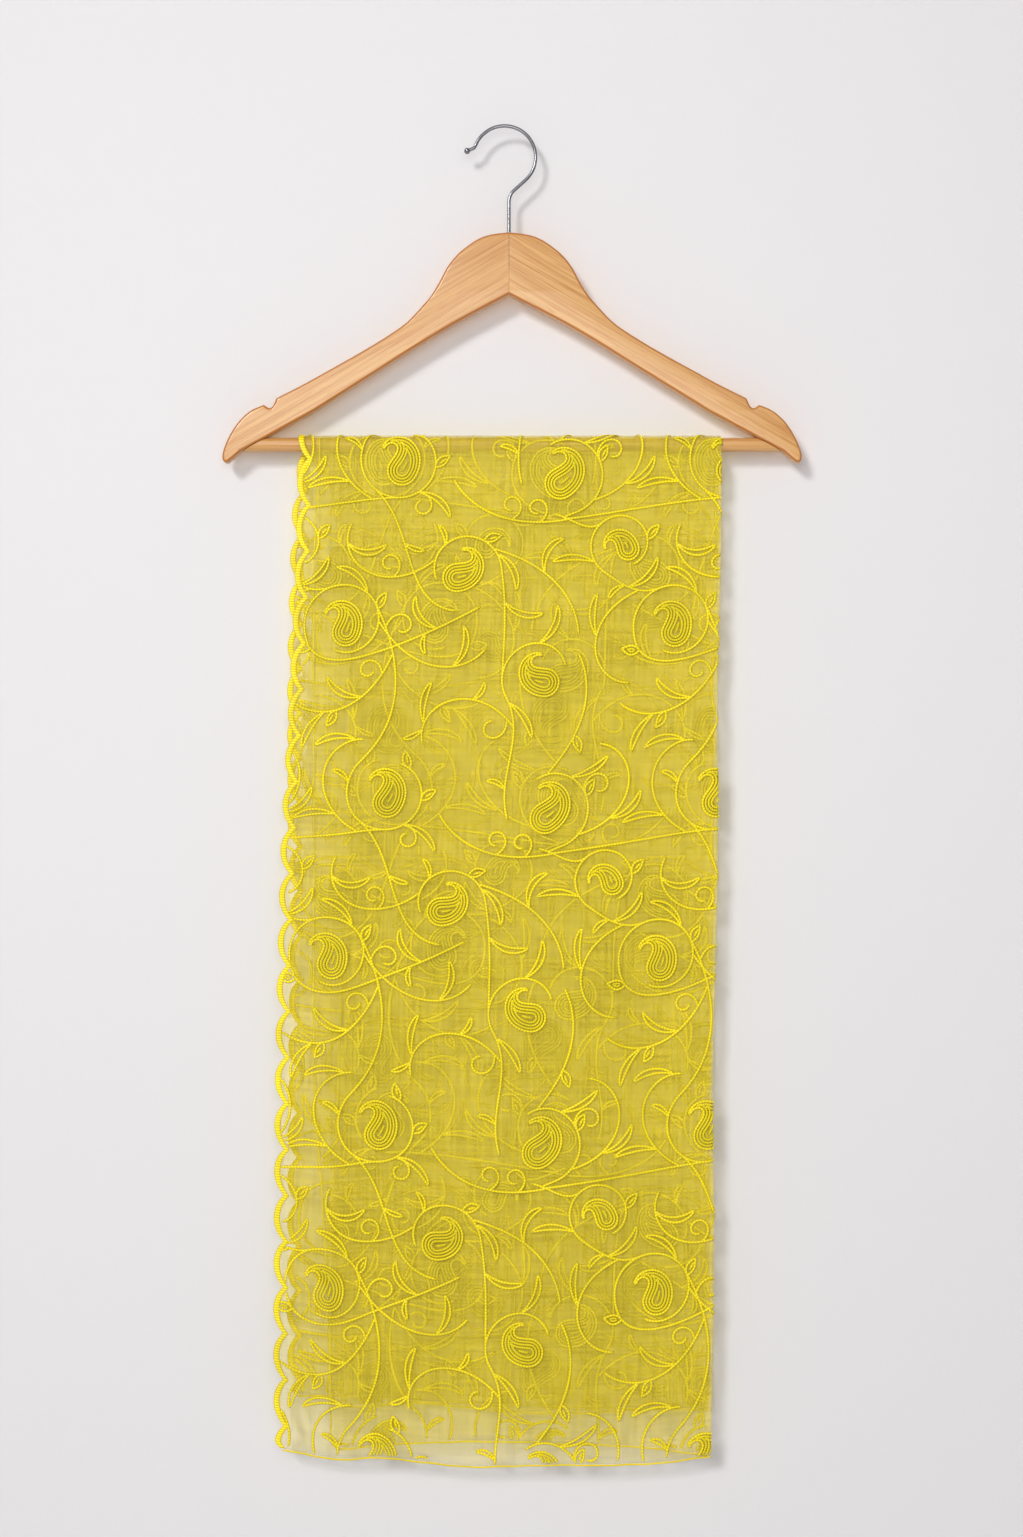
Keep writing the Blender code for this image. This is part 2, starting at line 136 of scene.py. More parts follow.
# Long soft waves across each fall, mm
FRONT_WAVES = [
    # height, spacing, crest, lean
    (1.9, 150.0, -118.0, 30.0),
    (0.9, 71.0, 20.0, -45.0),
]
BACK_WAVES = [
    # height, spacing, crest, lean
    (2.0, 170.0, -60.0, -25.0),
    (1.0, 83.0, 35.0, 40.0),
]
WAVE_STARTS, WAVE_FULL = 0.02, 0.25
# Creases pressed across the cloth while it was stored folded, mm below the bar's axis
PRESSED_CREASES = [205.0, 399.0, 598.0]
CREASE_HEIGHT = 0.0011
CREASE_HALF_WIDTH = 0.012
# Soft troughs and ridges that the cloth's own weight draws down each fall, mm
FRONT_DRAPES = [
    # x at the top, drop at the top, x at the bottom, drop at the bottom, height, half width
    (-112, 330, -104, 735, -0.9, 26),
    (-60, 90, -72, 420, 0.6, 19),
    (-8, 40, 10, 330, -0.6, 22),
    (58, 120, 44, 640, 0.7, 24),
    (98, 30, 112, 300, -0.5, 17),
    (118, 360, 104, 760, -0.7, 21),
    (-28, 480, -40, 782, 0.7, 23),
    (139, 150, 143, 700, 0.5, 12),
]
BACK_DRAPES = [
    # x at the top, drop at the top, x at the bottom, drop at the bottom, height, half width
    (-96, 60, -110, 520, 0.8, 22),
    (-30, 30, -22, 400, -0.7, 24),
    (34, 200, 52, 745, 0.8, 26),
    (96, 40, 84, 480, -0.6, 19),
    (-72, 470, -64, 745, -0.6, 21),
    (128, 300, 122, 740, 0.6, 16),
]

# Scalloped edge
SCALLOP_DEPTH = 0.0075
SCALLOP_STEPS = 6
FRONT_FIRST_STEP = 4
FRONT_BORDER_STEPS = 131
BACK_BORDER_STEPS = 128
BAND_UNDERLAP = 0.0012
ROUND_END = 0.007
CORNER_RADIUS = 0.008
HEM_OFFSET = 0.001

# Hanger
ARM_THICKNESS = 0.012
ARM_REACH_LEFT = 0.2202
ARM_REACH_RIGHT = 0.2248
SEAM_X = 0.0035
SEAM_GAP = 0.0003
UNDERSIDE_AT_AXIS = 0.1957
UNDERSIDE_SLOPE = 0.5466
TENON_RADIUS = 0.0035
TENON_LENGTH = 0.012
ARM_OUTLINE = [
    # from_seam, above_bar, kind; mm
    (0.0, 163.2, "corner"),
    (19.2, 159.4, "round"),
    (35.4, 149.4, "round"),
    (46.2, 137.8, "round"),
    (54.7, 122.4, "round"),
    (62.4, 110.9, "round"),
    (83.9, 89.3, "round"),
    (150.2, 50.0, "round"),
    (178.6, 35.2, "corner"),
    (182.9, 27.9, "round"),
    (188.4, 30.2, "corner"),
    (198.7, 25.4, "round"),
    (207.9, 16.9, "round"),
    (214.8, 6.2, "round"),
    (219.1, -3.9, "round"),
    (220.2, -11.0, "round"),
    (217.6, -14.2, "round"),
    (213.4, -12.0, "round"),
    (206.0, -5.6, "corner"),
    (150.2, 24.9, "corner"),
    (114.7, 47.2, "round"),
    (48.5, 88.6, "round"),
    (0.0, 114.7, "corner"),
]

# Hook
HOOK_HOLE_RADIUS = 0.00165
STEM_IN_WOOD = 0.025
CROWN_ABOVE_BAR = 0.1632
NECK_BEND_RADIUS = 0.012
CROOK_RADIUS = 0.024
NECK_BEND = math.radians(48)
CROOK_TURN = math.radians(206)
LIP_BEND_RADIUS = 0.005
LIP_BEND = math.radians(46)
LIP_RUN = 0.002
WIRE_STEP = math.radians(4)

# Embroidery: one repeat of an own design, grown by rule, in mm. Across is u and up is v.
REPEAT_ACROSS = 252.0
REPEAT_UP = 254.0
REPEAT = np.array([REPEAT_ACROSS, REPEAT_UP])
CORD_STEP = 2.2
CHART_SCALE = np.array([0.001, 0.00101])
PAISLEYS = [
    # across, up, size, turn in degrees, mirrored
    (40.0, 130.0, 1.0, 0.0, False),
    (80.0, 0.0, 1.05, -10.0, False),
    (130.0, 170.0, 1.0, -60.0, False),
    (190.0, 90.0, 1.0, 60.0, True),
    (205.0, -10.0, 1.1, -35.0, False),
    (250.0, 190.0, 0.8, 40.0, False),
]
# Each paisley's vine starts beside it, curls outwards round it and runs on to the vine of another paisley
VINE_START = 22.0
VINE_END = 31.0
VINE_TURN = 300.0
VINE_POINTS = 60
VINES = [
    # start in degrees, sense of the curl, the paisley whose vine it joins, repeats across and up to it
    (250.0, 1, 2, 0, 0),
    (70.0, -1, 0, 0, 0),
    (200.0, -1, 3, 0, 0),
    (20.0, 1, 4, 0, 0),
    (120.0, -1, 1, 1, 0),
    (300.0, 1, 0, 1, 0),
]
# The points of a curl where a run may leave it and where it may join it
LEAVES_CURL = (38, 44, 50, 55, 59)
JOINS_CURL = range(12, VINE_POINTS, 4)
# A run is judged by its length, its bends, in mm a radian, and how far it comes inside the room of a paisley
BEND_COST = 22
CROWDING_COST = 60
PAISLEY_ROOM = 27
RUN_PULL = 1.15
LINKS = [
    # paisleys whose vines a plain stem joins, repeats across and up to the second one
    (5, 4, 0, 1),
    (2, 1, 0, 1),
]
GROWTH = [
    # kind, lengths, bends in degrees, width, room that it needs, how far apart on the stems, how many
    ("stem", (100.0, 76.0, 56.0), (70, 110, 160), 0.0, 8.5, 9.0, 10),
    ("bud", (17.0, 14.0), (10, 25), 6.0, 3.6, 18.0, 8),
    ("filled", (17.0, 14.0), (10, 25), 7.0, 4.0, 30.0, 4),
    ("leaf", (34.0, 28.0, 22.0), (50, 75, 100), 4.0, 4.6, 13.0, 20),
    ("curl", (42.0, 32.0), (300, 360), 0.0, 3.6, 12.0, 8),
    ("leaf", (17.0, 14.0), (40, 70), 3.0, 3.8, 10.0, 8),
]
GROWTH_SEED = 11
SHOOT_ANGLE = math.radians(34)
CURL_TIGHTENING = 1.2
LEAF_TIGHTENING = 0.2
SHARE_NEAR_STEM = 0.35
FAR_OFF = 1e6
PAISLEY_CIRCLES = (4, 9, 14, 18)
# A paisley's middle line: its length, its first heading and its bend in degrees, its half widths at the
# round end and at the tip, and where it starts
PAISLEY_RUN = 39.0
PAISLEY_HEADING = 67.0
PAISLEY_BEND = 193.0
PAISLEY_HALF_WIDTHS = (11.6, 1.8)
PAISLEY_FOOT = (1.5, -8.0)
CLEAR_OF_EDGE = 18.0


def linear(hex_colour):
    """Linear RGB of an sRGB hex colour."""
    channels = [int(hex_colour[i:i + 2], 16) / 255 for i in (1, 3, 5)]
    return tuple(c / 12.92 if c <= 0.04045 else ((c + 0.055) / 1.055) ** 2.4 for c in channels)


def colour(name, description, value):
    """A colour property."""
    return FloatVectorProperty(name=name, description=description, subtype="COLOR", size=3, min=0, max=1,
                               default=linear(value))


def length(name, description, value):
    """A length property, in metres."""
    return FloatProperty(name=name, description=description, default=value, min=0, unit="LENGTH",
                         subtype="DISTANCE", precision=5)


class StoleSettings(bpy.types.PropertyGroup):
    """Sizes and colours of the stole."""

    net_thickness: length("Net thickness", "Thickness of the organza", 0.00025)
    cord_half_width: length("Cord half width", "Half the width of a couched cord", 0.00112)
    cord_half_height: length("Cord half height", "Half the height of a couched cord", 0.00062)
    cord_lift: length("Cord lift", "How far a cord's middle lies off the net", 0.0002)
    stitch: length("Chain stitch", "Length of one chain stitch", 0.0024)
    row_pitch: length("Row pitch", "Distance between the rows that fill a paisley", 0.0023)
    band_width: length("Band width", "Width of the satin-stitched band", 0.0048)
    band_height: length("Band height", "Half the height of the band's padding", 0.0007)
    hem_radius: length("Hem radius", "Radius of the rolled hem", 0.0007)
    net: colour("Net", "Colour of the organza's threads", "#EAD638")
    thread: colour("Thread", "Colour of the embroidery thread", "#FCEB08")
    # Painted shade: this darker thread colour is painted where the stitches dip and at the sides of rows,
    # standing in for their shade
    thread_painted_shade: colour("Thread in the gaps", "Colour between the stitches", "#CBAA02")


class HangerSettings(bpy.types.PropertyGroup):
    """Sizes and colours of the hanger."""

    edge_round: length("Edge rounding", "Rounding of the arms' edges", 0.0022)
    wire_radius: length("Wire radius", "Radius of the hook's wire", 0.00135)
    ball_radius: length("Ball radius", "Radius of the hook's ball end", 0.0024)
    wood: colour("Wood", "Colour of the early wood", "#D1A162")
    grain: colour("Grain", "Colour of the late wood", "#B37538")
    edge: colour("Edges", "Colour where lacquer gathers on the rounded edges", "#B06A20")
    wire: colour("Wire", "Colour of the plated steel", "#85868A")


class StudioSettings(bpy.types.PropertyGroup):
    """The wall, the floor and the light."""

    wall_behind: length("Wall distance", "How far the wall is behind the hanger", 0.017)
    floor_below: length("Floor distance", "How far the floor is below the hook", 1.75)
    key_power: FloatProperty(name="Key light", description="Power of the main light", default=160.0, min=0,
                             unit="POWER")
    front_power: FloatProperty(name="Front light", description="Power of the soft light in front", default=7.8,
                               min=0, unit="POWER")
    back_power: FloatProperty(name="Back light", description="Power of the light behind", default=90.0, min=0,
                              unit="POWER")
    ambient: FloatProperty(name="Ambient", description="Strength of the surrounding light", default=0.39, min=0)
    backdrop: FloatProperty(name="Backdrop", description="Brightness of the empty studio behind",
                            default=0.78, min=0)
    wall: colour("Wall", "Colour of the wall and floor", "#DAD8D9")


def column(table, index, at):
    """Values of a table's column at places given in its first column, smooth through the rows."""
    rows = np.array(table, dtype=float) * MM
    places, values = rows[:, 0], rows[:, index]
    slopes = np.gradient(values, places)
    k = np.clip(np.searchsorted(places, at) - 1, 0, len(places) - 2)
    width = places[k + 1] - places[k]
    t = np.clip((at - places[k]) / width, 0.0, 1.0)
    start = values[k] * (1 + 2 * t) * (1 - t) ** 2 + slopes[k] * width * t * (1 - t) ** 2
    end = values[k + 1] * t * t * (3 - 2 * t) - slopes[k + 1] * width * t * t * (1 - t)
    return start + end


def ease(value, start, full):
    """0 below start, 1 above full, smooth between."""
    t = np.clip((value - start) / (full - start), 0.0, 1.0)
    return t * t * (3 - 2 * t)


class Fall:
    """One side of the hung cloth: its edges, its waves and which way it faces."""

    def __init__(self, sides, hem, waves, drapes, facing, full_length):
        self.sides, self.hem, self.waves, self.drapes = sides, hem, waves, drapes
        self.facing, self.length = facing, full_length

    def swell(self, x, drop):
        """How far the whole fall stands out at a place."""
        out = np.zeros_like(x)
        for height, spacing, crest, lean in self.waves:
            phase = (x - crest * MM - lean * MM * drop) / (spacing * MM)
            out += height * MM * (0.5 + 0.5 * np.cos(2 * np.pi * phase))
        for crease in PRESSED_CREASES:
            near = np.maximum(0.0, 1 - np.abs(drop - crease * MM) / CREASE_HALF_WIDTH)
            out += CREASE_HEIGHT * near
        for x_top, top, x_bottom, bottom, height, half in self.drapes:
            part = (drop - top * MM) / ((bottom - top) * MM)
            middle = (x_top + (x_bottom - x_top) * part) * MM
            fade = ease(part, -0.12, 0.22) * (1 - ease(part, 0.78, 1.12))
            out += height * MM * fade * np.exp(-(((x - middle) / (half * MM)) ** 2))
        return out * ease(drop, WAVE_STARTS, WAVE_FULL)

    def plies(self, drop):
        """Depths of the outer and inner ply, which lie closer together on the bar."""
        apart = ease(drop, 0.0, PLIES_APART_BY)
        outer = OUTER_PLY_OVER_BAR + (OUTER_PLY - OUTER_PLY_OVER_BAR) * apart
        inner = INNER_PLY_OVER_BAR + (INNER_PLY - INNER_PLY_OVER_BAR) * apart
        return outer, inner

    def stations(self, drop):
        """Where u reaches the fold, leaves it and ends, at a drop below the bar."""
        outer, inner = self.plies(drop)
        radius = (outer - inner) / 2
        fold = column(self.sides, 3, drop) - radius
        start = fold - column(self.sides, 1, drop)
        leave = start + np.pi * radius
        return start, leave, leave + fold - column(self.sides, 2, drop)

    def section(self, u, drop, lift):
        """x, depth from the bar's plane and whether the point is past the fold, before any swell."""
        outer, inner = self.plies(drop)
        radius = (outer - inner) / 2
        left = column(self.sides, 1, drop)
        fold = column(self.sides, 3, drop) - radius
        start, leave, end = self.stations(drop)
        turn = np.pi * np.clip((u - start) / (leave - start), 0.0, 1.0)
        x = np.where(u < start, left + u, fold + (radius + lift) * np.sin(turn) - np.maximum(0.0, u - leave))
        across = np.clip((u - leave) / (end - leave), 0.0, 1.1)
        spread = OPEN_SIDE_SPREAD * across * ease(drop, SPREAD_STARTS, SPREAD_FULL)
        depth = (outer + inner) / 2 + (radius + lift) * np.cos(turn) - spread
        return x, depth, turn > np.pi / 2

    def points(self, u, drop, lift):
        """World points of the flat places u, drop, lifted off the cloth's right side."""
        x, depth, past_fold = self.section(u, drop, lift)
        hem = np.where(past_fold, column(self.hem, 2, x), column(self.hem, 1, x))
        drop = drop / self.length * hem
        out = depth + self.swell(x, drop)
        return np.stack([x, self.facing * out, -BAR_BELOW_ORIGIN - drop], axis=-1)


FRONT = Fall(FRONT_SIDES, FRONT_HEM, FRONT_WAVES, FRONT_DRAPES, -1, FRONT_LENGTH)
BACK = Fall(BACK_SIDES, BACK_HEM, BACK_WAVES, BACK_DRAPES, 1, BACK_LENGTH)


def hang(u, v, lift=0.0):
    """World points of flat places on the cloth."""
    u, v = np.broadcast_arrays(np.asarray(u, float), np.asarray(v, float))
    lift = np.broadcast_to(lift, u.shape)
    front = FRONT.points(u, FRONT_LENGTH - v, lift)
    back = BACK.points(u, v - FRONT_LENGTH - TURN_LENGTH, lift)
    x, depth, _ = FRONT.section(u, np.zeros_like(u), lift)
    angle = np.pi * (v - FRONT_LENGTH) / TURN_LENGTH
    turn = np.stack([x, -depth * np.cos(angle), depth * np.sin(angle) - BAR_BELOW_ORIGIN], axis=-1)
    on_front, on_back = (v <= FRONT_LENGTH)[..., None], (v >= FRONT_LENGTH + TURN_LENGTH)[..., None]
    return np.where(on_front, front, np.where(on_back, back, turn))


def drops(v):
    """Which fall each place is on, True for the front, and its drop below the bar."""
    v = np.asarray(v, float)
    front = v < FRONT_LENGTH + TURN_LENGTH / 2
    drop = np.where(front, FRONT_LENGTH - v, v - FRONT_LENGTH - TURN_LENGTH)
    return front, np.maximum(drop, 0.0)


def stations(v):
    """Where u reaches the fold, leaves it and ends at the plain side, along the cloth."""
    front, drop = drops(v)
    return [np.where(front, f, b) for f, b in zip(FRONT.stations(drop), BACK.stations(drop))]


def scallop_dip(v):
    """How deep the scalloped edge lies inside its tips, 0 to 1, along the cloth."""
    v = np.asarray(v, float)
    down_front = (FRONT_FIRST_STEP + FRONT_BORDER_STEPS * (1 - v / FRONT_LENGTH)) / SCALLOP_STEPS
    over_bar = FRONT_FIRST_STEP / SCALLOP_STEPS * (1 - (v - FRONT_LENGTH) / TURN_LENGTH)
    down_back = BACK_BORDER_STEPS * (v - FRONT_LENGTH - TURN_LENGTH) / BACK_LENGTH / SCALLOP_STEPS
    position = np.where(v <= FRONT_LENGTH, down_front,
                        np.where(v <= FRONT_LENGTH + TURN_LENGTH, over_bar, down_back))
    rise = SCALLOP_DEPTH * FRONT_BORDER_STEPS / SCALLOP_STEPS / FRONT_LENGTH
    radius = (0.25 + rise ** 2) / (2 * rise)
    offset = position - np.floor(position) - 0.5
    return (radius - np.sqrt(radius ** 2 - offset ** 2)) / rise


def band_edges(v, band_width):
    """Outer and inner edge of the scalloped band, along the cloth, with its two ends rounded off."""
    dip = scallop_dip(v)
    near_end = np.clip(1 - np.minimum(v, CLOTH_LENGTH - v) / ROUND_END, 0.0, 1.0)
    drawn_in = 0.65 * ROUND_END * near_end ** 2
    return SCALLOP_DEPTH * dip + drawn_in, band_width + 0.96 * SCALLOP_DEPTH * dip + drawn_in


def plain_side(v):
    """Where the plain side lies, with its two corners rounded."""
    end = stations(v)[2]
    near = np.clip(CORNER_RADIUS - np.minimum(v, CLOTH_LENGTH - v), 0.0, CORNER_RADIUS)
    return end - (CORNER_RADIUS - np.sqrt(CORNER_RADIUS ** 2 - near ** 2))


def add_node(tree, kind, settings=(), links=()):
    """Add a node with its settings, which are its own or its sockets', and its links, by socket."""
    node = tree.nodes.new(kind)
    for key, value in dict(settings).items():
        if isinstance(key, str) and hasattr(node, key):
            setattr(node, key, value)
        else:
            node.inputs[key].default_value = value
    for key, source in dict(links).items():
        tree.links.new(source, node.inputs[key])
    return node


def new_material(name, settings):
    """A material, its node tree and its Principled shader with those constants."""
    made = bpy.data.materials.new(name)
    made.use_nodes = True
    shader = made.node_tree.nodes["Principled BSDF"]
    for key, value in settings.items():
        shader.inputs[key].default_value = value
    return made, made.node_tree, shader


def opaque(rgb):
    """A colour property's value with full alpha."""
    return (*rgb, 1.0)


def organza(settings):
    """Sheer silk organza: single stiff filaments in an open plain weave, so the wall and the plies behind show
    through it, with faint uneven streaks both ways. The alpha is that of one of the sheet's two faces."""
    made, tree, shader = new_material("Silk organza, open plain weave", {
        "Roughness": 0.55, "Alpha": 0.19, "Specular IOR Level": 0.3, "Sheen Weight": 0.15,
        "Sheen Roughness": 0.4, "IOR": 1.5,
    })
    place = add_node(tree, "ShaderNodeUVMap", {"uv_map": "Flat cloth"}).outputs["UV"]
    # Filaments lie 0.25 mm apart, too fine to show, so their streaks are drawn 1.4 mm wide
    streaks = []
    for stretch in ((700.0, 22.0, 1.0), (22.0, 700.0, 1.0)):
        turned = add_node(tree, "ShaderNodeMapping", {"Scale": stretch}, {"Vector": place})
        noise = add_node(tree, "ShaderNodeTexNoise", {"Scale": 1.0, "Detail": 0.0},
                         {"Vector": turned.outputs[0]})
        streaks.append(noise.outputs["Factor" if "Factor" in noise.outputs else "Fac"])
    both = add_node(tree, "ShaderNodeMath", {"operation": "ADD"}, {0: streaks[0], 1: streaks[1]})
    shade = add_node(tree, "ShaderNodeMapRange",
                     {"From Min": 0.7, "From Max": 1.3, "To Min": 0.72, "To Max": 1.2},
                     {"Value": both.outputs[0]})
    tinted = add_node(tree, "ShaderNodeVectorMath", {"operation": "SCALE", 0: settings.net},
                      {"Scale": shade.outputs[0]})
    tree.links.new(tinted.outputs[0], shader.inputs["Base Color"])
    bump = add_node(tree, "ShaderNodeBump", {"Strength": 0.25, "Distance": 0.0003}, {"Height": streaks[0]})
    tree.links.new(bump.outputs[0], shader.inputs["Normal"])
    return made


def stitched(name, settings, stitch, slant, depth, roughness, sides=0.3):
    """Shiny viscose embroidery thread laid in stitches along a cord or across a band: each stitch has a painted
    highlight on its crown and painted shade where it dips into the net, over a bump of the same relief. Sides
    is how much of a row's width is in painted shade."""
    made, tree, shader = new_material(name, {
        "Roughness": roughness, "Specular IOR Level": 0.4, "Sheen Weight": 0.06, "Sheen Roughness": 0.35,
        "IOR": 1.47,
    })
    place = add_node(tree, "ShaderNodeUVMap", {"uv_map": "Along the stitch"}).outputs["UV"]
    parts = add_node(tree, "ShaderNodeSeparateXYZ", (), {"Vector": place})
    side = add_node(tree, "ShaderNodeMath", {"operation": "ABSOLUTE"}, {0: parts.outputs["Y"]})
    late = add_node(tree, "ShaderNodeMath", {"operation": "MULTIPLY", 1: slant * stitch}, {0: side.outputs[0]})
    along = add_node(tree, "ShaderNodeMath", {"operation": "ADD"}, {0: parts.outputs["X"], 1: late.outputs[0]})
    turns = add_node(tree, "ShaderNodeMath", {"operation": "MULTIPLY", 1: 2 * math.pi / stitch},
                     {0: along.outputs[0]})
    wave = add_node(tree, "ShaderNodeMath", {"operation": "COSINE"}, {0: turns.outputs[0]})
    # Painted highlight and shade along each stitch: the crown gets the lit thread colour, the dip the painted
    # shade colour
    top = add_node(tree, "ShaderNodeMapRange", {"From Min": -1.0, "From Max": 0.35, "To Min": 0.2},
                   {"Value": wave.outputs[0]})
    # The thread dips into the net at both sides of a row, which the bump follows, and painted shade darkens the
    # line where neighbouring rows part
    inside = add_node(tree, "ShaderNodeMapRange",
                      {"From Min": 0.98 - sides / 2, "From Max": 0.98 - 1.5 * sides, "To Min": 0.25},
                      {"Value": side.outputs[0]})
    # This mask sets where the painted shade colour goes, and also gives the bump its relief
    stitch_relief_and_painted_shade = add_node(tree, "ShaderNodeMath", {"operation": "MULTIPLY"},
                     {0: top.outputs[0], 1: inside.outputs[0]})
    where = add_node(tree, "ShaderNodeTexCoord").outputs["Object"]
    # Dye tone drifts over about 30 mm, and with it a painted lustre that brightens or dulls the base colour as
    # uneven sheen would; single filaments are 0.35 mm wide
    patch = add_node(tree, "ShaderNodeTexNoise", {"Scale": 33.0, "Detail": 2.0}, {"Vector": where})
    fibre = add_node(tree, "ShaderNodeTexNoise", {"Scale": 2800.0, "Detail": 1.0}, {"Vector": where})
    dye_and_painted_lustre = add_node(tree, "ShaderNodeMapRange",
                     {"From Min": 0.3, "From Max": 0.7, "To Min": 0.9, "To Max": 1.08},
                     {"Value": patch.outputs[0]})
    # Painted shade: the shade colour fills the stitch dips and row sides, the lit colour the crowns
    mixed = add_node(tree, "ShaderNodeMix", {"data_type": "RGBA", 6: opaque(settings.thread_painted_shade),
                                             7: opaque(settings.thread)}, {0: stitch_relief_and_painted_shade.outputs[0]})
    tinted = add_node(tree, "ShaderNodeVectorMath", {"operation": "SCALE"},
                      {0: mixed.outputs[2], "Scale": dye_and_painted_lustre.outputs[0]})
    tree.links.new(tinted.outputs[0], shader.inputs["Base Color"])
    fine = add_node(tree, "ShaderNodeBump", {"Strength": 0.3, "Distance": 0.0002}, {"Height": fibre.outputs[0]})
    bump = add_node(tree, "ShaderNodeBump", {"Strength": 0.8, "Distance": depth},
                    {"Height": stitch_relief_and_painted_shade.outputs[0], "Normal": fine.outputs[0]})
    tree.links.new(bump.outputs[0], shader.inputs["Normal"])
    return made


def lacquered_wood(name, settings, lean, edged):
    """Pale lotus wood under a clear satin lacquer: long straight grain along the piece, fine pores, and a
    darker orange line where the lacquer gathers on the rounded edges."""
    made, tree, shader = new_material(name, {
        "Roughness": 0.34, "Specular IOR Level": 0.5, "Coat Weight": 0.35, "Coat Roughness": 0.16, "IOR": 1.5,
    })
    where = add_node(tree, "ShaderNodeTexCoord").outputs["Object"]
    turned = add_node(tree, "ShaderNodeMapping", {"Rotation": (0.0, lean, 0.0)}, {"Vector": where})
    # Growth rings show as lines about 2 mm apart, pores as streaks 0.8 mm wide and 14 mm long
    ringed = add_node(tree, "ShaderNodeMapping", {"Scale": (7.0, 90.0, 480.0)}, {"Vector": turned.outputs[0]})
    pored = add_node(tree, "ShaderNodeMapping", {"Scale": (70.0, 900.0, 1200.0)}, {"Vector": turned.outputs[0]})
    rings = add_node(tree, "ShaderNodeTexNoise",
                     {"Scale": 1.0, "Detail": 4.0, "Roughness": 0.66, "Distortion": 0.9},
                     {"Vector": ringed.outputs[0]})
    pores = add_node(tree, "ShaderNodeTexNoise", {"Scale": 1.0, "Detail": 1.0}, {"Vector": pored.outputs[0]})
    late = add_node(tree, "ShaderNodeMapRange", {"From Min": 0.4, "From Max": 0.72},
                    {"Value": rings.outputs[0]})
    speck = add_node(tree, "ShaderNodeMapRange", {"From Min": 0.6, "From Max": 0.76, "To Max": 0.5},
                     {"Value": pores.outputs[0]})
    body = add_node(tree, "ShaderNodeMix",
                    {"data_type": "RGBA", 6: opaque(settings.wood), 7: opaque(settings.grain)},
                    {0: late.outputs[0]})
    pitted = add_node(tree, "ShaderNodeMix", {"data_type": "RGBA", 7: opaque(settings.edge)},
                      {0: speck.outputs[0], 6: body.outputs[2]})
    parts = add_node(tree, "ShaderNodeSeparateXYZ", (), {"Vector": where})
    depth = add_node(tree, "ShaderNodeMath", {"operation": "ABSOLUTE"}, {0: parts.outputs["Y"]})
    rim = add_node(tree, "ShaderNodeMapRange",
                   {"From Min": 0.00598, "From Max": 0.00585, "To Max": 0.9 * edged},
                   {"Value": depth.outputs[0]})
    flank = add_node(tree, "ShaderNodeMapRange", {"From Min": 0.0034, "From Max": 0.0048, "To Min": 0.25},
                     {"Value": depth.outputs[0]})
    line = add_node(tree, "ShaderNodeMath", {"operation": "MULTIPLY"}, {0: rim.outputs[0], 1: flank.outputs[0]})
    rimmed = add_node(tree, "ShaderNodeMix", {"data_type": "RGBA", 7: opaque(settings.edge)},
                      {0: line.outputs[0], 6: pitted.outputs[2]})
    tree.links.new(rimmed.outputs[2], shader.inputs["Base Color"])
    rough = add_node(tree, "ShaderNodeMapRange", {"To Min": 0.28, "To Max": 0.42}, {"Value": rings.outputs[0]})
    tree.links.new(rough.outputs[0], shader.inputs["Roughness"])
    bump = add_node(tree, "ShaderNodeBump", {"Strength": 0.2, "Distance": 0.0002}, {"Height": speck.outputs[0]})
    tree.links.new(bump.outputs[0], shader.inputs["Normal"])
    return made


def plated_steel(settings):
    """Drawn steel wire with bright zinc plating: a soft mirror with faint drawing marks."""
    made, tree, shader = new_material("Zinc-plated steel wire", {
        "Base Color": opaque(settings.wire), "Metallic": 1.0, "Roughness": 0.22,
    })
    where = add_node(tree, "ShaderNodeTexCoord").outputs["Object"]
    # Drawing marks are scratches about 0.3 mm wide
    marks = add_node(tree, "ShaderNodeTexNoise", {"Scale": 3300.0, "Detail": 2.0}, {"Vector": where})
    dull = add_node(tree, "ShaderNodeMapRange", {"To Min": 0.18, "To Max": 0.26}, {"Value": marks.outputs[0]})
    tree.links.new(dull.outputs[0], shader.inputs["Roughness"])
    bump = add_node(tree, "ShaderNodeBump", {"Strength": 0.05, "Distance": 0.0001},
                    {"Height": marks.outputs[0]})
    tree.links.new(bump.outputs[0], shader.inputs["Normal"])
    return made


def matt_paint(settings, one_sided):
    """Matt wall paint. One-sided, it can be looked through from behind."""
    made, tree, shader = new_material("Matt emulsion paint", {"Roughness": 0.9, "Specular IOR Level": 0.2})
    where = add_node(tree, "ShaderNodeTexCoord").outputs["Object"]
    # Roller marks are about 3 mm across
    marks = add_node(tree, "ShaderNodeTexNoise", {"Scale": 330.0, "Detail": 2.0}, {"Vector": where})
    shade = add_node(tree, "ShaderNodeMapRange", {"To Min": 0.985, "To Max": 1.0}, {"Value": marks.outputs[0]})
    tinted = add_node(tree, "ShaderNodeVectorMath", {"operation": "SCALE", 0: settings.wall},
                      {"Scale": shade.outputs[0]})
    tree.links.new(tinted.outputs[0], shader.inputs["Base Color"])
    if one_sided:
        clear = add_node(tree, "ShaderNodeBsdfTransparent")
        back = add_node(tree, "ShaderNodeNewGeometry").outputs["Backfacing"]
        mixed = add_node(tree, "ShaderNodeMixShader", (), {0: back, 1: shader.outputs[0], 2: clear.outputs[0]})
        tree.links.new(mixed.outputs[0], tree.nodes["Material Output"].inputs["Surface"])
    return made


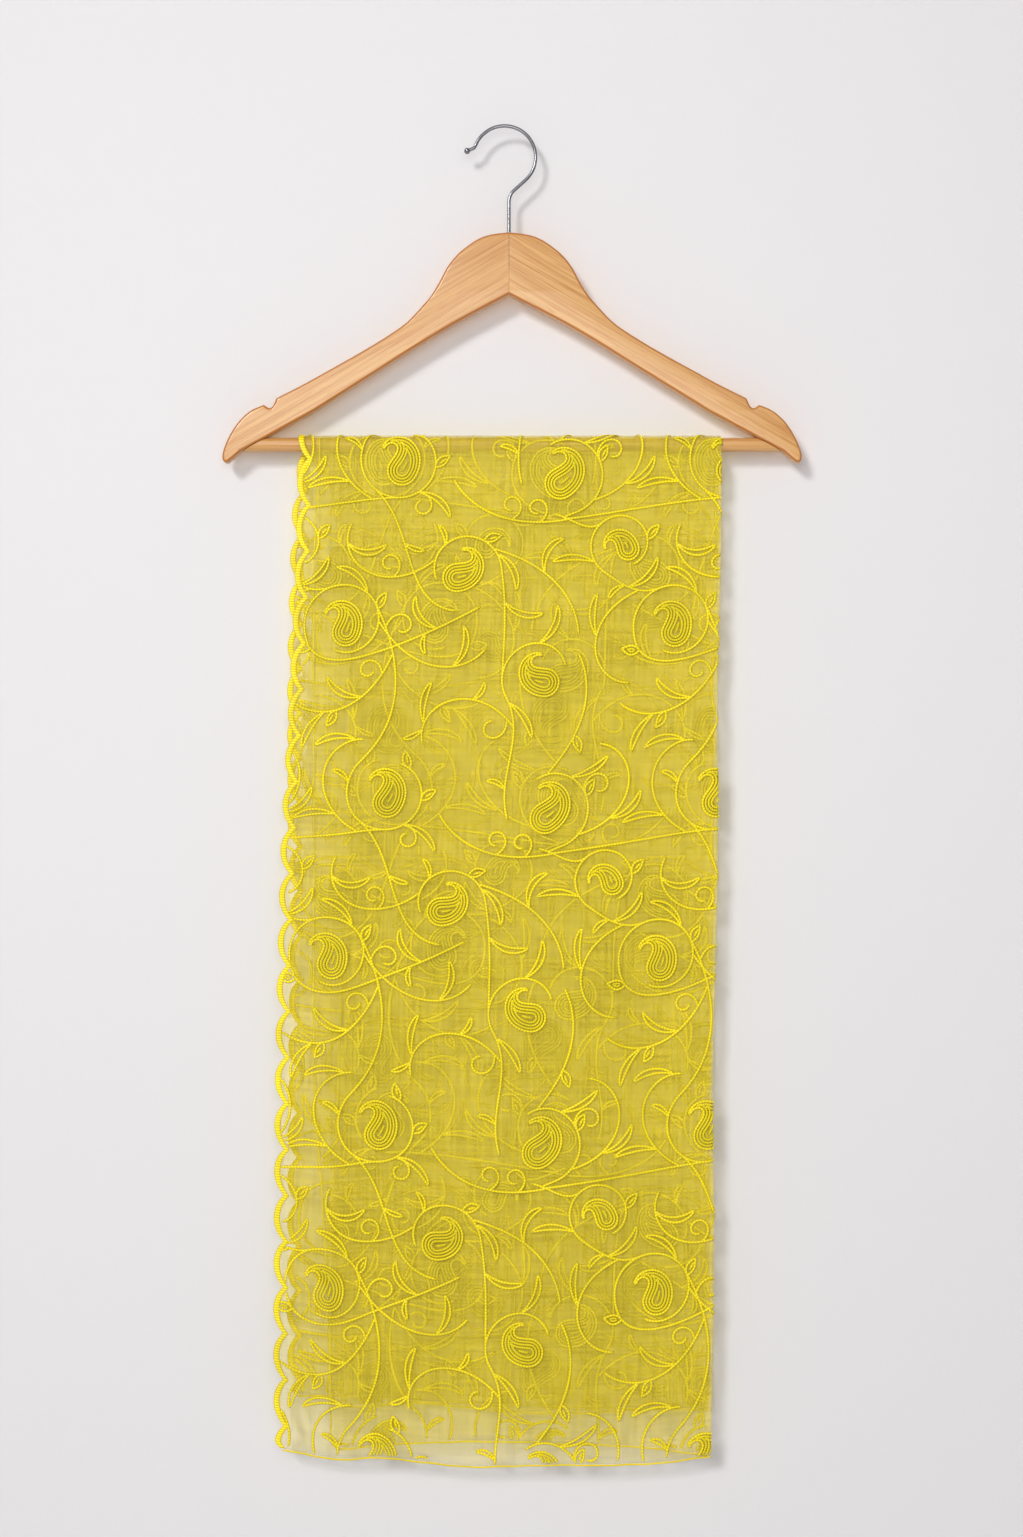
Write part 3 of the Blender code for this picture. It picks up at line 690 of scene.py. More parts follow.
def add_mesh(name, points, faces, uv_name, uv, finish):
    """An object from points and faces with one UV place for each point."""
    mesh = bpy.data.meshes.new(name)
    mesh.from_pydata(points.tolist(), [], faces)
    corners = np.empty(len(mesh.loops), np.int32)
    mesh.loops.foreach_get("vertex_index", corners)
    mesh.uv_layers.new(name=uv_name).data.foreach_set("uv", uv[corners].astype(np.float32).ravel())
    mesh.shade_smooth()
    mesh.materials.append(finish)
    piece = bpy.data.objects.new(name, mesh)
    bpy.context.scene.collection.objects.link(piece)
    return piece


def own(piece, slot, *nodes):
    """Join a piece to the frame's root body and hide the CAD nodes that it stands for. The slot is not used."""
    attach(piece, "root")
    if nodes:
        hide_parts(*nodes)
    return piece


def smooth(points, step):
    """Points a step apart on a smooth curve through the given ones."""
    knots = np.asarray(points, float)
    ahead = np.vstack([2 * knots[0] - knots[1], knots, 2 * knots[-1] - knots[-2]])
    fine = []
    for i in range(len(knots) - 1):
        a, b, c, d = ahead[i:i + 4]
        t = np.linspace(0, 1, 17)[:-1, None]
        fine.append(b + t * (c - a) / 2 + t ** 2 * (a - 2.5 * b + 2 * c - d / 2)
                    + t ** 3 * (-a / 2 + 1.5 * b - 1.5 * c + d / 2))
    fine = np.vstack([*fine, knots[-1:]])
    run = np.concatenate([[0], np.cumsum(np.linalg.norm(np.diff(fine[:, :2], axis=0), axis=1))])
    at = np.linspace(0, run[-1], max(4, round(run[-1] / step) + 1))
    return np.stack([np.interp(at, run, fine[:, k]) for k in range(fine.shape[1])], axis=1)


def beside(line, distance):
    """A line moved sideways by a distance that may change along it."""
    ahead = np.gradient(line, axis=0)
    ahead /= np.maximum(np.linalg.norm(ahead, axis=1, keepdims=True), 1e-9)
    return line + np.stack([-ahead[:, 1], ahead[:, 0]], axis=1) * np.reshape(distance, (-1, 1))


def leaf_lines(points, width, step):
    """The two cords of a crescent leaf."""
    spine = smooth(points, step)
    t = np.linspace(0, 1, len(spine))
    part = width / 2 * np.sin(np.pi * t ** 1.25) ** 0.75
    return [beside(spine, part), beside(spine, -part)]


def almond(base, tip, width, lean, step):
    """The outline of a bud, closed, starting at its stem end."""
    base, tip = np.array(base, float), np.array(tip, float)
    axis = tip - base
    side = np.array([-axis[1], axis[0]]) / np.linalg.norm(axis)
    lines = []
    for way in (1, -1):
        knots = [base, base + 0.22 * axis + side * (way * 0.38 * width + 0.3 * lean),
                 base + 0.52 * axis + side * (way * 0.5 * width + 0.6 * lean),
                 base + 0.8 * axis + side * (way * 0.26 * width + 0.5 * lean), tip]
        lines.append(smooth(knots, step))
    return np.vstack([lines[0], lines[1][-2::-1]])


def bud_lines(base, tip, width, lean, step):
    """A closed almond and its vein."""
    outline = almond(base, tip, width, lean, step)
    base, tip = np.array(base, float), np.array(tip, float)
    vein = smooth([base + 0.3 * (tip - base), base + 0.75 * (tip - base)], step)
    return [outline, vein]


def filled_lines(base, tip, width, lean, pitch, step):
    """An almond filled with rows that follow its outline."""
    lines = []
    base, tip = np.array(base, float), np.array(tip, float)
    axis = (tip - base) / np.linalg.norm(tip - base)
    inset = 0.0
    while width / 2 - inset > 0.4 * pitch:
        lines.append(almond(base + axis * inset * 1.6, tip - axis * inset * 2.0, width - 2 * inset, lean, step))
        inset += pitch
    return lines


def paisley_spine():
    """Middle line of a paisley from its round end to its curled tip, with its half width, in mm."""
    t = np.linspace(0, 1, round(PAISLEY_RUN * 2) + 1)
    turn = np.radians(PAISLEY_HEADING + PAISLEY_BEND * t ** 1.5)
    run = np.cumsum(np.stack([np.cos(turn), np.sin(turn)], axis=1), axis=0) * PAISLEY_RUN / len(t)
    wide, narrow = PAISLEY_HALF_WIDTHS
    half = narrow + (wide - narrow) * (0.5 + 0.5 * np.cos(np.pi * t)) ** 1.1
    return np.column_stack([run + PAISLEY_FOOT, half])


def smooth_run(start, way, end, arrival):
    """A smooth line between two places with a heading at each."""
    t = np.linspace(0, 1, 40)[:, None]
    pull = RUN_PULL * np.linalg.norm(end - start)
    return ((2 * t ** 3 - 3 * t ** 2 + 1) * start + (t ** 3 - 2 * t ** 2 + t) * way * pull
            + (3 * t ** 2 - 2 * t ** 3) * end + (t ** 3 - t ** 2) * arrival * pull)


def sweep(start, heading, run, bend, tightening):
    """A line that leaves a place at a heading and bends as it runs."""
    steps = max(5, round(run / CORD_STEP))
    t = (np.arange(steps) + 0.5) / steps
    turn = heading + bend * (t + tightening * t ** 2) / (1 + tightening)
    path = np.cumsum(np.stack([np.cos(turn), np.sin(turn)], axis=1) * run / steps, axis=0)
    return start + np.vstack([[0, 0], path])


def headings(line):
    """Unit directions along a line."""
    way = np.gradient(line, axis=0)
    return way / np.linalg.norm(way, axis=1, keepdims=True)


def vine_curl(i):
    """The curl of a vine round its paisley."""
    across, up, size, _, _ = PAISLEYS[i]
    start, sense, *_ = VINES[i]
    t = np.linspace(0, 1, VINE_POINTS)
    angle = np.radians(start + sense * VINE_TURN * t)
    reach = (VINE_START + (VINE_END - VINE_START) * t ** 0.8) * size
    return np.array([across, up]) + reach[:, None] * np.stack([np.cos(angle), np.sin(angle)], axis=1)


def mark(taken, points):
    """Note points in a map of squared distances that runs on over the edges of the repeat."""
    across, up = np.arange(REPEAT_ACROSS) + 0.5, np.arange(REPEAT_UP) + 0.5
    for x, y in points:
        dx, dy = np.abs(across - x % REPEAT_ACROSS), np.abs(up - y % REPEAT_UP)
        dx, dy = np.minimum(dx, REPEAT_ACROSS - dx), np.minimum(dy, REPEAT_UP - dy)
        np.minimum(taken, dx[:, None] ** 2 + dy[None, :] ** 2, out=taken)


def clearance(taken, points):
    """How far the nearest of these points is from what the map holds."""
    i, j = (points[:, 0] % REPEAT_ACROSS).astype(int), (points[:, 1] % REPEAT_UP).astype(int)
    return math.sqrt(taken[i, j].min())


def empty_map():
    """A map of one repeat with nothing in it."""
    return np.full((int(REPEAT_ACROSS), int(REPEAT_UP)), FAR_OFF)


def joined(first, second, middles, sizes):
    """The best smooth run from one curl to another, and the point of the first where it leaves."""
    best, best_cost, leaves = None, math.inf, 0
    first_ways, second_ways = headings(first), headings(second)
    for a, b, flow in [(a, b, flow) for a in LEAVES_CURL for b in JOINS_CURL for flow in (1, -1)]:
        line = smooth_run(first[a], first_ways[a], second[b], flow * second_ways[b])
        apart = np.abs(line[:, None, :] - middles[None, :, :]) % REPEAT
        apart = np.minimum(apart, REPEAT - apart)
        near = np.sqrt((apart ** 2).sum(axis=2)) / sizes
        bend = np.abs(np.diff(np.unwrap(np.arctan2(*np.gradient(line, axis=0).T[::-1])))).sum()
        cost = (np.linalg.norm(np.diff(line, axis=0), axis=1).sum() + BEND_COST * bend
                + CROWDING_COST * np.maximum(PAISLEY_ROOM - near, 0).sum())
        if cost < best_cost:
            best, best_cost, leaves = line, cost, a
    return best, leaves


def main_stems(middles, sizes):
    """Every vine with its curl, and the plain stems between vines."""
    stems = []
    for i, (_, _, goal, *repeat) in enumerate(VINES):
        curl = vine_curl(i)
        run, leaves = joined(curl, vine_curl(goal) + np.array(repeat) * REPEAT, middles, sizes)
        stems.append(np.vstack([curl[:leaves], run]))
    for first, second, *repeat in LINKS:
        stems.append(joined(vine_curl(first), vine_curl(second) + np.array(repeat) * REPEAT, middles, sizes)[0])
    return stems


def shoot(rng, taken, kind, start, way, run, bends, width, room):
    """The shoot with the most room at a place on a stem, or None."""
    tightening = CURL_TIGHTENING if kind in ("curl", "stem") else LEAF_TIGHTENING
    best = None
    for side, flow, bend in [(s, f, b) for s in (1, -1) for f in (1, -1) for b in bends]:
        turn = side * math.radians(bend) * (1 if kind == "curl" else rng.choice([1, -1]))
        heading = math.atan2(way[1] * flow, way[0] * flow) + side * SHOOT_ANGLE
        made = sweep(start, heading, run, turn, tightening)
        space = clearance(taken, made[max(3, int(SHARE_NEAR_STEM * len(made))):]) - width / 4
        if space > room:
            best, room = made, space
    return best


def grow():
    """Stems, curls, leaves, buds and filled leaves of one repeat, each kept where there is room for it."""
    rng = np.random.default_rng(GROWTH_SEED)
    middles = np.array([row[:2] for row in PAISLEYS])
    sizes = np.array([row[2] for row in PAISLEYS])
    design = {"stem": main_stems(middles, sizes), "leaf": [], "bud": [], "filled": [], "curl": []}
    angles = np.radians(np.arange(0, 360, 15))
    bodies = [middle + size * reach * np.stack([np.cos(angles), np.sin(angles)], axis=1)
              for middle, size in zip(middles, sizes) for reach in PAISLEY_CIRCLES]
    taken = empty_map()
    for line in [*design["stem"], *bodies]:
        mark(taken, line)
    for kind, runs, bends, width, room, apart, most in GROWTH:
        found, starts = 0, empty_map()
        hosts = [(line[k], headings(line)[k]) for line in design["stem"] for k in range(4, len(line) - 2, 2)]
        for run in runs:
            for index in rng.permutation(len(hosts)):
                start, way = hosts[index]
                if found >= most or clearance(starts, start[None]) < apart:
                    continue
                made = shoot(rng, taken, kind, start, way, run, bends, width, room)
                if made is None:
                    continue
                found += 1
                mark(starts, start[None])
                mark(taken, made[2:])
                design[kind].append((made, width) if width else made)
    return design


def paisley_lines(pitch, step):
    """Rows of a paisley, in mm about its middle, from its outline inwards to a slit with a seed in it."""
    spine = paisley_spine()
    ahead = np.gradient(spine[:, :2], axis=0)
    run = np.linalg.norm(ahead, axis=1)
    ahead /= run[:, None]
    side = np.stack([-ahead[:, 1], ahead[:, 0]], axis=1)
    narrowing = np.clip(-np.gradient(spine[:, 2]) / run, -0.9, 0.9)
    lines = []
    inset = pitch / 2
    while spine[0, 2] - inset > 2.9:
        room = spine[:, 2] - inset
        last = len(room) if (room > -0.4 * pitch).all() else max(3, int(np.argmax(room <= -0.4 * pitch)))
        half = np.maximum(room, 0.35)
        forward = ahead[:last] * narrowing[:last, None]
        outward = side[:last] * np.sqrt(1 - narrowing[:last, None] ** 2)
        middle, half = spine[:last, :2], half[:last, None]
        left, right = middle + half * (forward + outward), middle + half * (forward - outward)
        start = math.atan2(*(right[0] - middle[0])[::-1])
        angles = np.linspace(0, -(np.pi + 2 * math.asin(narrowing[0])), 24)[1:-1]
        heel = middle[0] + half[0] * np.stack([np.cos(start + angles), np.sin(start + angles)], axis=1)
        ring = np.vstack([right[::-1], heel, left, right[-1:]])
        lines.append(even(ring, step))
        inset += pitch
    # A small seed lies in the slit
    lines.append(even(spine[:17, :2], step))
    return lines


def even(line, step):
    """The same line with its points evenly spaced."""
    run = np.concatenate([[0], np.cumsum(np.linalg.norm(np.diff(line, axis=0), axis=1))])
    keep = np.concatenate([[True], np.diff(run) > 1e-9])
    line, run = line[keep], run[keep]
    at = np.linspace(0, run[-1], max(4, round(run[-1] / step) + 1))
    return np.stack([np.interp(at, run, line[:, 0]), np.interp(at, run, line[:, 1])], axis=1)


def repeats():
    """The offsets, in mm, of every repeat that touches the cloth."""
    across = range(-1, math.ceil(0.65 / MM / REPEAT_ACROSS) + 1)
    up = range(-2, math.ceil(CLOTH_LENGTH / MM / REPEAT_UP) + 1)
    return [np.array([i * REPEAT_ACROSS, j * REPEAT_UP]) for i in across for j in up]


def on_cloth(line, band_width):
    """The stretches of a line, in metres, that lie on the net."""
    u, v = line[:, 0], line[:, 1]
    inner_edge = band_edges(v, band_width)[1]
    held = (u > inner_edge - BAND_UNDERLAP) & (u < plain_side(v)) & (v > 0.0004) & (v < CLOTH_LENGTH - 0.0004)
    edges = np.flatnonzero(np.diff(np.concatenate([[0], held.view(np.int8), [0]])))
    return [line[a:b] for a, b in zip(edges[::2], edges[1::2]) if b - a > 2]


def by_stretch(lines):
    """Lines sorted into the stretches of the cloth that they lie on."""
    sorted_lines = {}
    for line in lines:
        u, v = line.mean(axis=0)
        fall = "front" if v < FRONT_LENGTH + TURN_LENGTH / 2 else "back"
        ply = "outer" if u < stations(np.array([v]))[0][0] else "inner"
        sorted_lines.setdefault(f"{fall}_{ply}", []).append(line)
    return sorted_lines


def cords(name, lines, half_width, half_height, lift, sides, finish, beads=0.0):
    """One mesh of closed cords lying along flat lines on the hung cloth. Beads swell every second point."""
    counts = np.array([len(line) for line in lines])
    flat = np.vstack(lines)
    ends = np.cumsum(counts) - 1
    starts = ends - counts + 1
    index = np.arange(len(flat))
    before = np.maximum(index - 1, np.repeat(starts, counts))
    after = np.minimum(index + 1, np.repeat(ends, counts))
    on_net = hang(flat[:, 0], flat[:, 1])
    away = hang(flat[:, 0], flat[:, 1], 1e-4) - on_net
    away /= np.linalg.norm(away, axis=1, keepdims=True)
    along = on_net[after] - on_net[before]
    along /= np.maximum(np.linalg.norm(along, axis=1, keepdims=True), 1e-12)
    side = np.cross(along, away)
    side /= np.linalg.norm(side, axis=1, keepdims=True)
    size = np.ones(len(flat))
    size -= beads * ((index - np.repeat(starts, counts)) % 2)
    size[starts] = size[ends] = 0.5
    angles = 2 * np.pi * (np.arange(sides) + 0.5) / sides
    rings = (on_net + away * lift)[:, None, :] + size[:, None, None] * (
        half_width * np.cos(angles)[None, :, None] * side[:, None, :]
        + half_height * np.sin(angles)[None, :, None] * away[:, None, :])
    gaps = np.linalg.norm(np.diff(flat, axis=0, prepend=flat[:1]), axis=1)
    gaps[starts] = 0.0
    run = np.cumsum(gaps)
    uv = np.stack([np.repeat(run, sides), np.tile(np.cos(angles), len(flat))], axis=1)
    one = np.setdiff1d(index, ends)[:, None] * sides
    k, j = np.arange(sides)[None, :], (np.arange(sides)[None, :] + 1) % sides
    quads = np.stack([one + k, one + sides + k, one + sides + j, one + j], axis=-1).reshape(-1, 4)
    caps = [list(range(s * sides, (s + 1) * sides)) for s in starts]
    caps += [list(range((e + 1) * sides - 1, e * sides - 1, -1)) for e in ends]
    return add_mesh(name, rings.reshape(-1, 3), quads.tolist() + caps, "Along the stitch", uv, finish)


def deselect():
    """Leave nothing selected."""
    for thing in bpy.context.view_layer.objects:
        thing.select_set(False)


def curve_piece(name, knots, cyclic):
    """A new Bezier curve through knots that are (point, handle before, handle after)."""
    deselect()
    bpy.ops.curve.primitive_bezier_curve_add(location=(0, 0, 0))
    thing = bpy.context.object
    thing.name = thing.data.name = name
    spline = thing.data.splines[0]
    spline.bezier_points.add(len(knots) - 2)
    spline.use_cyclic_u = cyclic
    for made, (point, before, after) in zip(spline.bezier_points, knots):
        made.handle_left_type = made.handle_right_type = "FREE"
        made.co, made.handle_left, made.handle_right = point, before, after
    return thing


def to_mesh(thing, angle):
    """Turn a curve into a mesh, smooth where its faces meet at less than an angle."""
    deselect()
    thing.select_set(True)
    bpy.context.view_layer.objects.active = thing
    bpy.ops.object.convert(target="MESH")
    made = bpy.context.object
    bpy.ops.object.mode_set(mode="EDIT")
    bpy.ops.mesh.select_all(action="SELECT")
    bpy.ops.mesh.remove_doubles(threshold=1e-6)
    bpy.ops.mesh.normals_make_consistent(inside=False)
    bpy.ops.object.mode_set(mode="OBJECT")
    bpy.ops.object.shade_smooth_by_angle(angle=angle)
    return made


def drill(thing, radius, start, end):
    """Bore a round hole between two points."""
    deselect()
    way = end - start
    bpy.ops.mesh.primitive_cylinder_add(vertices=32, radius=radius, depth=way.length,
                                        location=(start + end) / 2,
                                        rotation=way.to_track_quat("Z", "Y").to_euler())
    tool = bpy.context.object
    hole = thing.modifiers.new("Hole", "BOOLEAN")
    hole.operation, hole.object, hole.solver = "DIFFERENCE", tool, "EXACT"
    deselect()
    thing.select_set(True)
    bpy.context.view_layer.objects.active = thing
    bpy.ops.object.modifier_apply(modifier="Hole")
    bpy.data.objects.remove(tool)


def bar_end(reach):
    """How far from the seam the bar's shoulder lies at its axis."""
    clear = SEAM_GAP * math.hypot(1, UNDERSIDE_SLOPE) / UNDERSIDE_SLOPE
    return UNDERSIDE_AT_AXIS * reach / ARM_REACH_LEFT - clear


def outline_knots(side, reach):
    """Knots of an arm's outline, in the plane of the hanger: round ones get handles along their neighbours.
    It runs a little past the seam, to be cut there."""
    stretch = reach / ARM_REACH_LEFT
    past = 4.0
    places = [Vector((SEAM_X + side * (x or -past) * MM * stretch,
                      (y if x or y > 150 else y + past * UNDERSIDE_SLOPE) * MM - BAR_BELOW_ORIGIN, 0))
              for x, y, _ in ARM_OUTLINE]
    knots = []
    for i, place in enumerate(places):
        last, following = places[i - 1], places[(i + 1) % len(places)]
        if ARM_OUTLINE[i][2] == "round":
            way = (following - last).normalized()
            before, after = -way, way
        else:
            before, after = (last - place).normalized(), (following - place).normalized()
        knots.append((place, place + before * (last - place).length / 3,
                      place + after * (following - place).length / 3))
    return knots


def bent_wire(start, heading, runs):
    """Points along a wire made of straight runs and bends: (length or radius, turn)."""
    points, place = [start.copy()], start.copy()
    for size, turn in runs:
        steps = max(1, round(abs(turn) / WIRE_STEP))
        for _ in range(steps):
            chord = 2 * size * math.sin(abs(turn) / steps / 2) if turn else size
            heading += turn / steps / 2
            place = place + Vector((math.cos(heading), 0, math.sin(heading))) * chord
            heading += turn / steps / 2
            points.append(place.copy())
    return points, heading


class STOLE_OT_net(bpy.types.Operator):
    """Make the organza cloth with its fold, waves and creases."""

    bl_idname = "stole.net"
    bl_label = "Net cloth"

    def execute(self, context):
        settings = context.scene.stole
        v = np.concatenate([
            np.linspace(0, FRONT_LENGTH, 146)[:-1],
            np.linspace(FRONT_LENGTH, FRONT_LENGTH + TURN_LENGTH, 13)[:-1],
            np.linspace(FRONT_LENGTH + TURN_LENGTH, CLOTH_LENGTH, 140),
        ])
        left = band_edges(v, settings.band_width)[1] - BAND_UNDERLAP
        start, leave, _ = stations(v)
        end = plain_side(v)
        part = np.linspace(0, 1, 61)[None, :]
        turn = np.linspace(0, 1, 9)[None, 1:]
        last = np.linspace(0, 1, 57)[None, 1:]
        u = np.hstack([
            left[:, None] + part * (start - left)[:, None],
            start[:, None] + turn * (leave - start)[:, None],
            leave[:, None] + last * (end - leave)[:, None],
        ])
        rows, columns = u.shape
        v = np.repeat(v[:, None], columns, axis=1)
        i = (np.arange(rows - 1)[:, None] * columns + np.arange(columns - 1)[None, :]).ravel()
        faces = np.stack([i, i + 1, i + columns + 1, i + columns], axis=1)
        flat = np.stack([u.ravel(), v.ravel()], axis=1)
        net = add_mesh("net_cloth", hang(u, v).reshape(-1, 3), faces.tolist(),
                       "Flat cloth", flat, organza(settings))
        wall = net.modifiers.new("Wall", "SOLIDIFY")
        wall.thickness = settings.net_thickness
        wall.offset = 0.0
        own(net, "net", "stole_front_fall", "stole_over_bar", "stole_back_fall")
        return {"FINISHED"}


class STOLE_OT_band(bpy.types.Operator):
    """Make the satin-stitched band along the scalloped side."""

    bl_idname = "stole.band"
    bl_label = "Scalloped band"

    def execute(self, context):
        settings = context.scene.stole
        v = np.linspace(0, CLOTH_LENGTH, 1500)
        outer, inner = band_edges(v, settings.band_width)
        angles = 2 * np.pi * (np.arange(10) + 0.5) / 10
        middle, half = ((outer + inner) / 2)[:, None], ((inner - outer) / 2)[:, None]
        ends = np.minimum(1.0, 0.4 + 0.6 * np.minimum(v, CLOTH_LENGTH - v) / 0.001)[:, None]
        u = middle + half * np.sign(np.cos(angles)) * np.abs(np.cos(angles)) ** 0.8
        lift = settings.band_height * ends * np.sin(angles) + 0.0001
        points = hang(u, np.repeat(v[:, None], 10, axis=1), lift)
        uv = np.stack([np.repeat(v, 10), np.tile(np.cos(angles), len(v))], axis=1)
        one = np.arange(len(v) - 1)[:, None] * 10
        k, j = np.arange(10)[None, :], (np.arange(10)[None, :] + 1) % 10
        quads = np.stack([one + k, one + j, one + 10 + j, one + 10 + k], axis=-1).reshape(-1, 4).tolist()
        caps = [list(range(9, -1, -1)), list(range((len(v) - 1) * 10, len(v) * 10))]
        # Satin stitches lie 0.5 mm apart, too fine to show, so they are drawn 2 mm apart
        satin = stitched("Viscose satin stitch", settings, 0.002, 0.0, 0.0003, 0.36)
        band = add_mesh("scallop_band", points.reshape(-1, 3), quads + caps, "Along the stitch", uv, satin)
        own(band, "stitching", "scallop_border_front", "scallop_border_over_bar", "scallop_border_back")
        return {"FINISHED"}


class STOLE_OT_hems(bpy.types.Operator):
    """Make the rolled hem round both ends and the plain side."""

    bl_idname = "stole.hems"
    bl_label = "Rolled hem"

    def execute(self, context):
        settings = context.scene.stole
        radius = CORNER_RADIUS + HEM_OFFSET
        path = []
        for at, way in ((0.0, 1), (CLOTH_LENGTH, -1)):
            corner = float(stations(np.array([at]))[2][0]) - CORNER_RADIUS
            across = np.arange(float(band_edges(at, settings.band_width)[0]) + 0.002, corner, 0.002)
            waver = 0.0003 * np.sin(across * 190) * np.sin(across * 61 + 1)
            end = np.stack([across, at - way * (HEM_OFFSET + waver)], axis=1)
            turn = np.linspace(0, np.pi / 2, 8)
            bend = np.stack([corner + radius * np.sin(turn),
                             at + way * (CORNER_RADIUS - radius * np.cos(turn))], axis=1)
            path.append(np.vstack([end, bend]))
        v = np.arange(CORNER_RADIUS + 0.003, CLOTH_LENGTH - CORNER_RADIUS - 0.002, 0.003)
        side = np.stack([stations(v)[2] + HEM_OFFSET + 0.0002 * np.sin(v * 210), v], axis=1)
        line = np.vstack([path[0], side, path[1][::-1]])
        thread = stitched("Viscose rolled hem", settings, 0.0016, 0.4, 0.0002, 0.42)
        hem = cords("rolled_hem", [line], settings.hem_radius, settings.hem_radius * 0.93, 0.0, 8, thread)
        own(hem, "stitching", "end_hem_front", "end_hem_back", "side_hem_front", "side_hem_over_bar",
            "side_hem_back")
        return {"FINISHED"}


class STOLE_OT_vines(bpy.types.Operator):
    """Lay the vine stems, crescent leaves and buds in couched cord."""

    bl_idname = "stole.vines"
    bl_label = "Vines, leaves and buds"

    def execute(self, context):
        settings = context.scene.stole
        step = CORD_STEP
        design = grow()
        lines = [even(line, step) for line in design["stem"] + design["curl"]]
        for line, width in design["leaf"]:
            lines += leaf_lines(line, width, step)
        for line, width in design["bud"]:
            lines += bud_lines(line[0], line[-1], width, 1.0, step * 0.8)
        placed = [stretch for offset in repeats() for line in lines
                  for stretch in on_cloth((line + offset) * CHART_SCALE, settings.band_width)]
        thread = stitched("Viscose couched cord", settings, settings.stitch, 0.35, 0.0003, 0.38)
        for name, group in by_stretch(placed).items():
            own(cords(f"vines_{name}", group, settings.cord_half_width, settings.cord_half_height,
                      settings.cord_lift, 6, thread), "stitching")
        return {"FINISHED"}


class STOLE_OT_paisleys(bpy.types.Operator):
    """Fill the paisleys and small leaves with rows of chain stitch."""

    bl_idname = "stole.paisleys"
    bl_label = "Paisleys"

    def execute(self, context):
        settings = context.scene.stole
        step, pitch = settings.stitch / MM / 2, settings.row_pitch / MM
        rows, outlines = [], []
        filled = grow()["filled"]
        for offset in repeats():
            for across, up, size, turn, mirrored in PAISLEYS:
                middle = np.array([across, up]) + offset
                if middle[0] < CLEAR_OF_EDGE:
                    continue
                angle = math.radians(turn)
                spin = np.array([[math.cos(angle), -math.sin(angle)], [math.sin(angle), math.cos(angle)]])
                for row, line in enumerate(paisley_lines(pitch / size, step / size)):
                    line = line * size * (np.array([-1, 1]) if mirrored else 1)
                    kept = rows if row else outlines
                    kept += on_cloth((line @ spin.T + middle) * CHART_SCALE, settings.band_width)
            for stalk, width in filled:
                for row, line in enumerate(filled_lines(stalk[0], stalk[-1], width, 1.0, pitch, step)):
                    kept = rows if row else outlines
                    kept += on_cloth((line + offset) * CHART_SCALE, settings.band_width)
        thread = stitched("Viscose chain stitch", settings, settings.stitch, 0.35, 0.0003, 0.4)
        # Filling stitches are 1.2 mm long, and are drawn 1.7 mm long so that they show
        filling = stitched("Viscose filling stitch", settings, 0.0017, 0.5, 0.0006, 0.45, 0.24)
        for name, group in by_stretch(rows).items():
            own(cords(f"paisley_rows_{name}", group, settings.row_pitch * 0.5, settings.cord_half_height * 0.8,
                      settings.cord_lift * 1.5, 6, filling, beads=0.2), "stitching")
        for name, group in by_stretch(outlines).items():
            own(cords(f"paisley_outlines_{name}", group, settings.cord_half_width,
                      settings.cord_half_height * 1.15,
                      settings.cord_lift * 2, 6, thread), "stitching")
        return {"FINISHED"}


class STOLE_OT_declare(bpy.types.Operator):
    """An empty step, which changes nothing."""

    bl_idname = "stole.declare"
    bl_label = "Cloth facts"

    def execute(self, context):
        return {"FINISHED"}


class STOLE_OT_arms(bpy.types.Operator):
    """Shape the two flat wooden arms and bore them for the bar and the hook."""

    bl_idname = "stole.arms"
    bl_label = "Hanger arms"

    def execute(self, context):
        settings = context.scene.hanger
        for name, side, reach in (("left", -1, ARM_REACH_LEFT), ("right", 1, ARM_REACH_RIGHT)):
            knots = outline_knots(side, reach)
            if side > 0:
                knots = [(point, after, before) for point, before, after in reversed(knots)]
            thing = curve_piece(f"arm_{name}", knots, True)
            data = thing.data
            data.dimensions, data.fill_mode, data.resolution_u = "2D", "BOTH", 8
            data.extrude = ARM_THICKNESS / 2 - settings.edge_round
            data.bevel_depth, data.bevel_resolution = settings.edge_round, 4
            data.offset = -settings.edge_round
            thing = to_mesh(thing, math.radians(40))
            thing.data.transform(Matrix.Rotation(math.pi / 2, 4, "X"))
            bpy.ops.object.mode_set(mode="EDIT")
            bpy.ops.mesh.select_all(action="SELECT")
            bpy.ops.mesh.bisect(plane_co=(SEAM_X + side * SEAM_GAP / 2, 0, 0), plane_no=(-side, 0, 0),
                                use_fill=True,
                                clear_outer=True, threshold=1e-7)
            bpy.ops.object.mode_set(mode="OBJECT")
            axis = -BAR_BELOW_ORIGIN
            start = SEAM_X + side * (bar_end(reach) - BAR_RADIUS / UNDERSIDE_SLOPE)
            end = SEAM_X + side * (bar_end(reach) + TENON_LENGTH + SEAM_GAP)
            drill(thing, TENON_RADIUS + SEAM_GAP, Vector((start, 0, axis)), Vector((end, 0, axis)))
            top = axis + CROWN_ABOVE_BAR
            drill(thing, HOOK_HOLE_RADIUS, Vector((SEAM_X, 0, top - STEM_IN_WOOD - SEAM_GAP)),
                  Vector((SEAM_X, 0, top + STEM_IN_WOOD)))
            bpy.ops.object.shade_smooth_by_angle(angle=math.radians(40))
            thing.data.materials.clear()
            thing.data.materials.append(lacquered_wood(f"Lacquered lotus wood, {name} arm",
                                                       settings, -side * 0.53, 1.0))
            own(thing, "wood", f"hanger_arm_{name}")
        return {"FINISHED"}


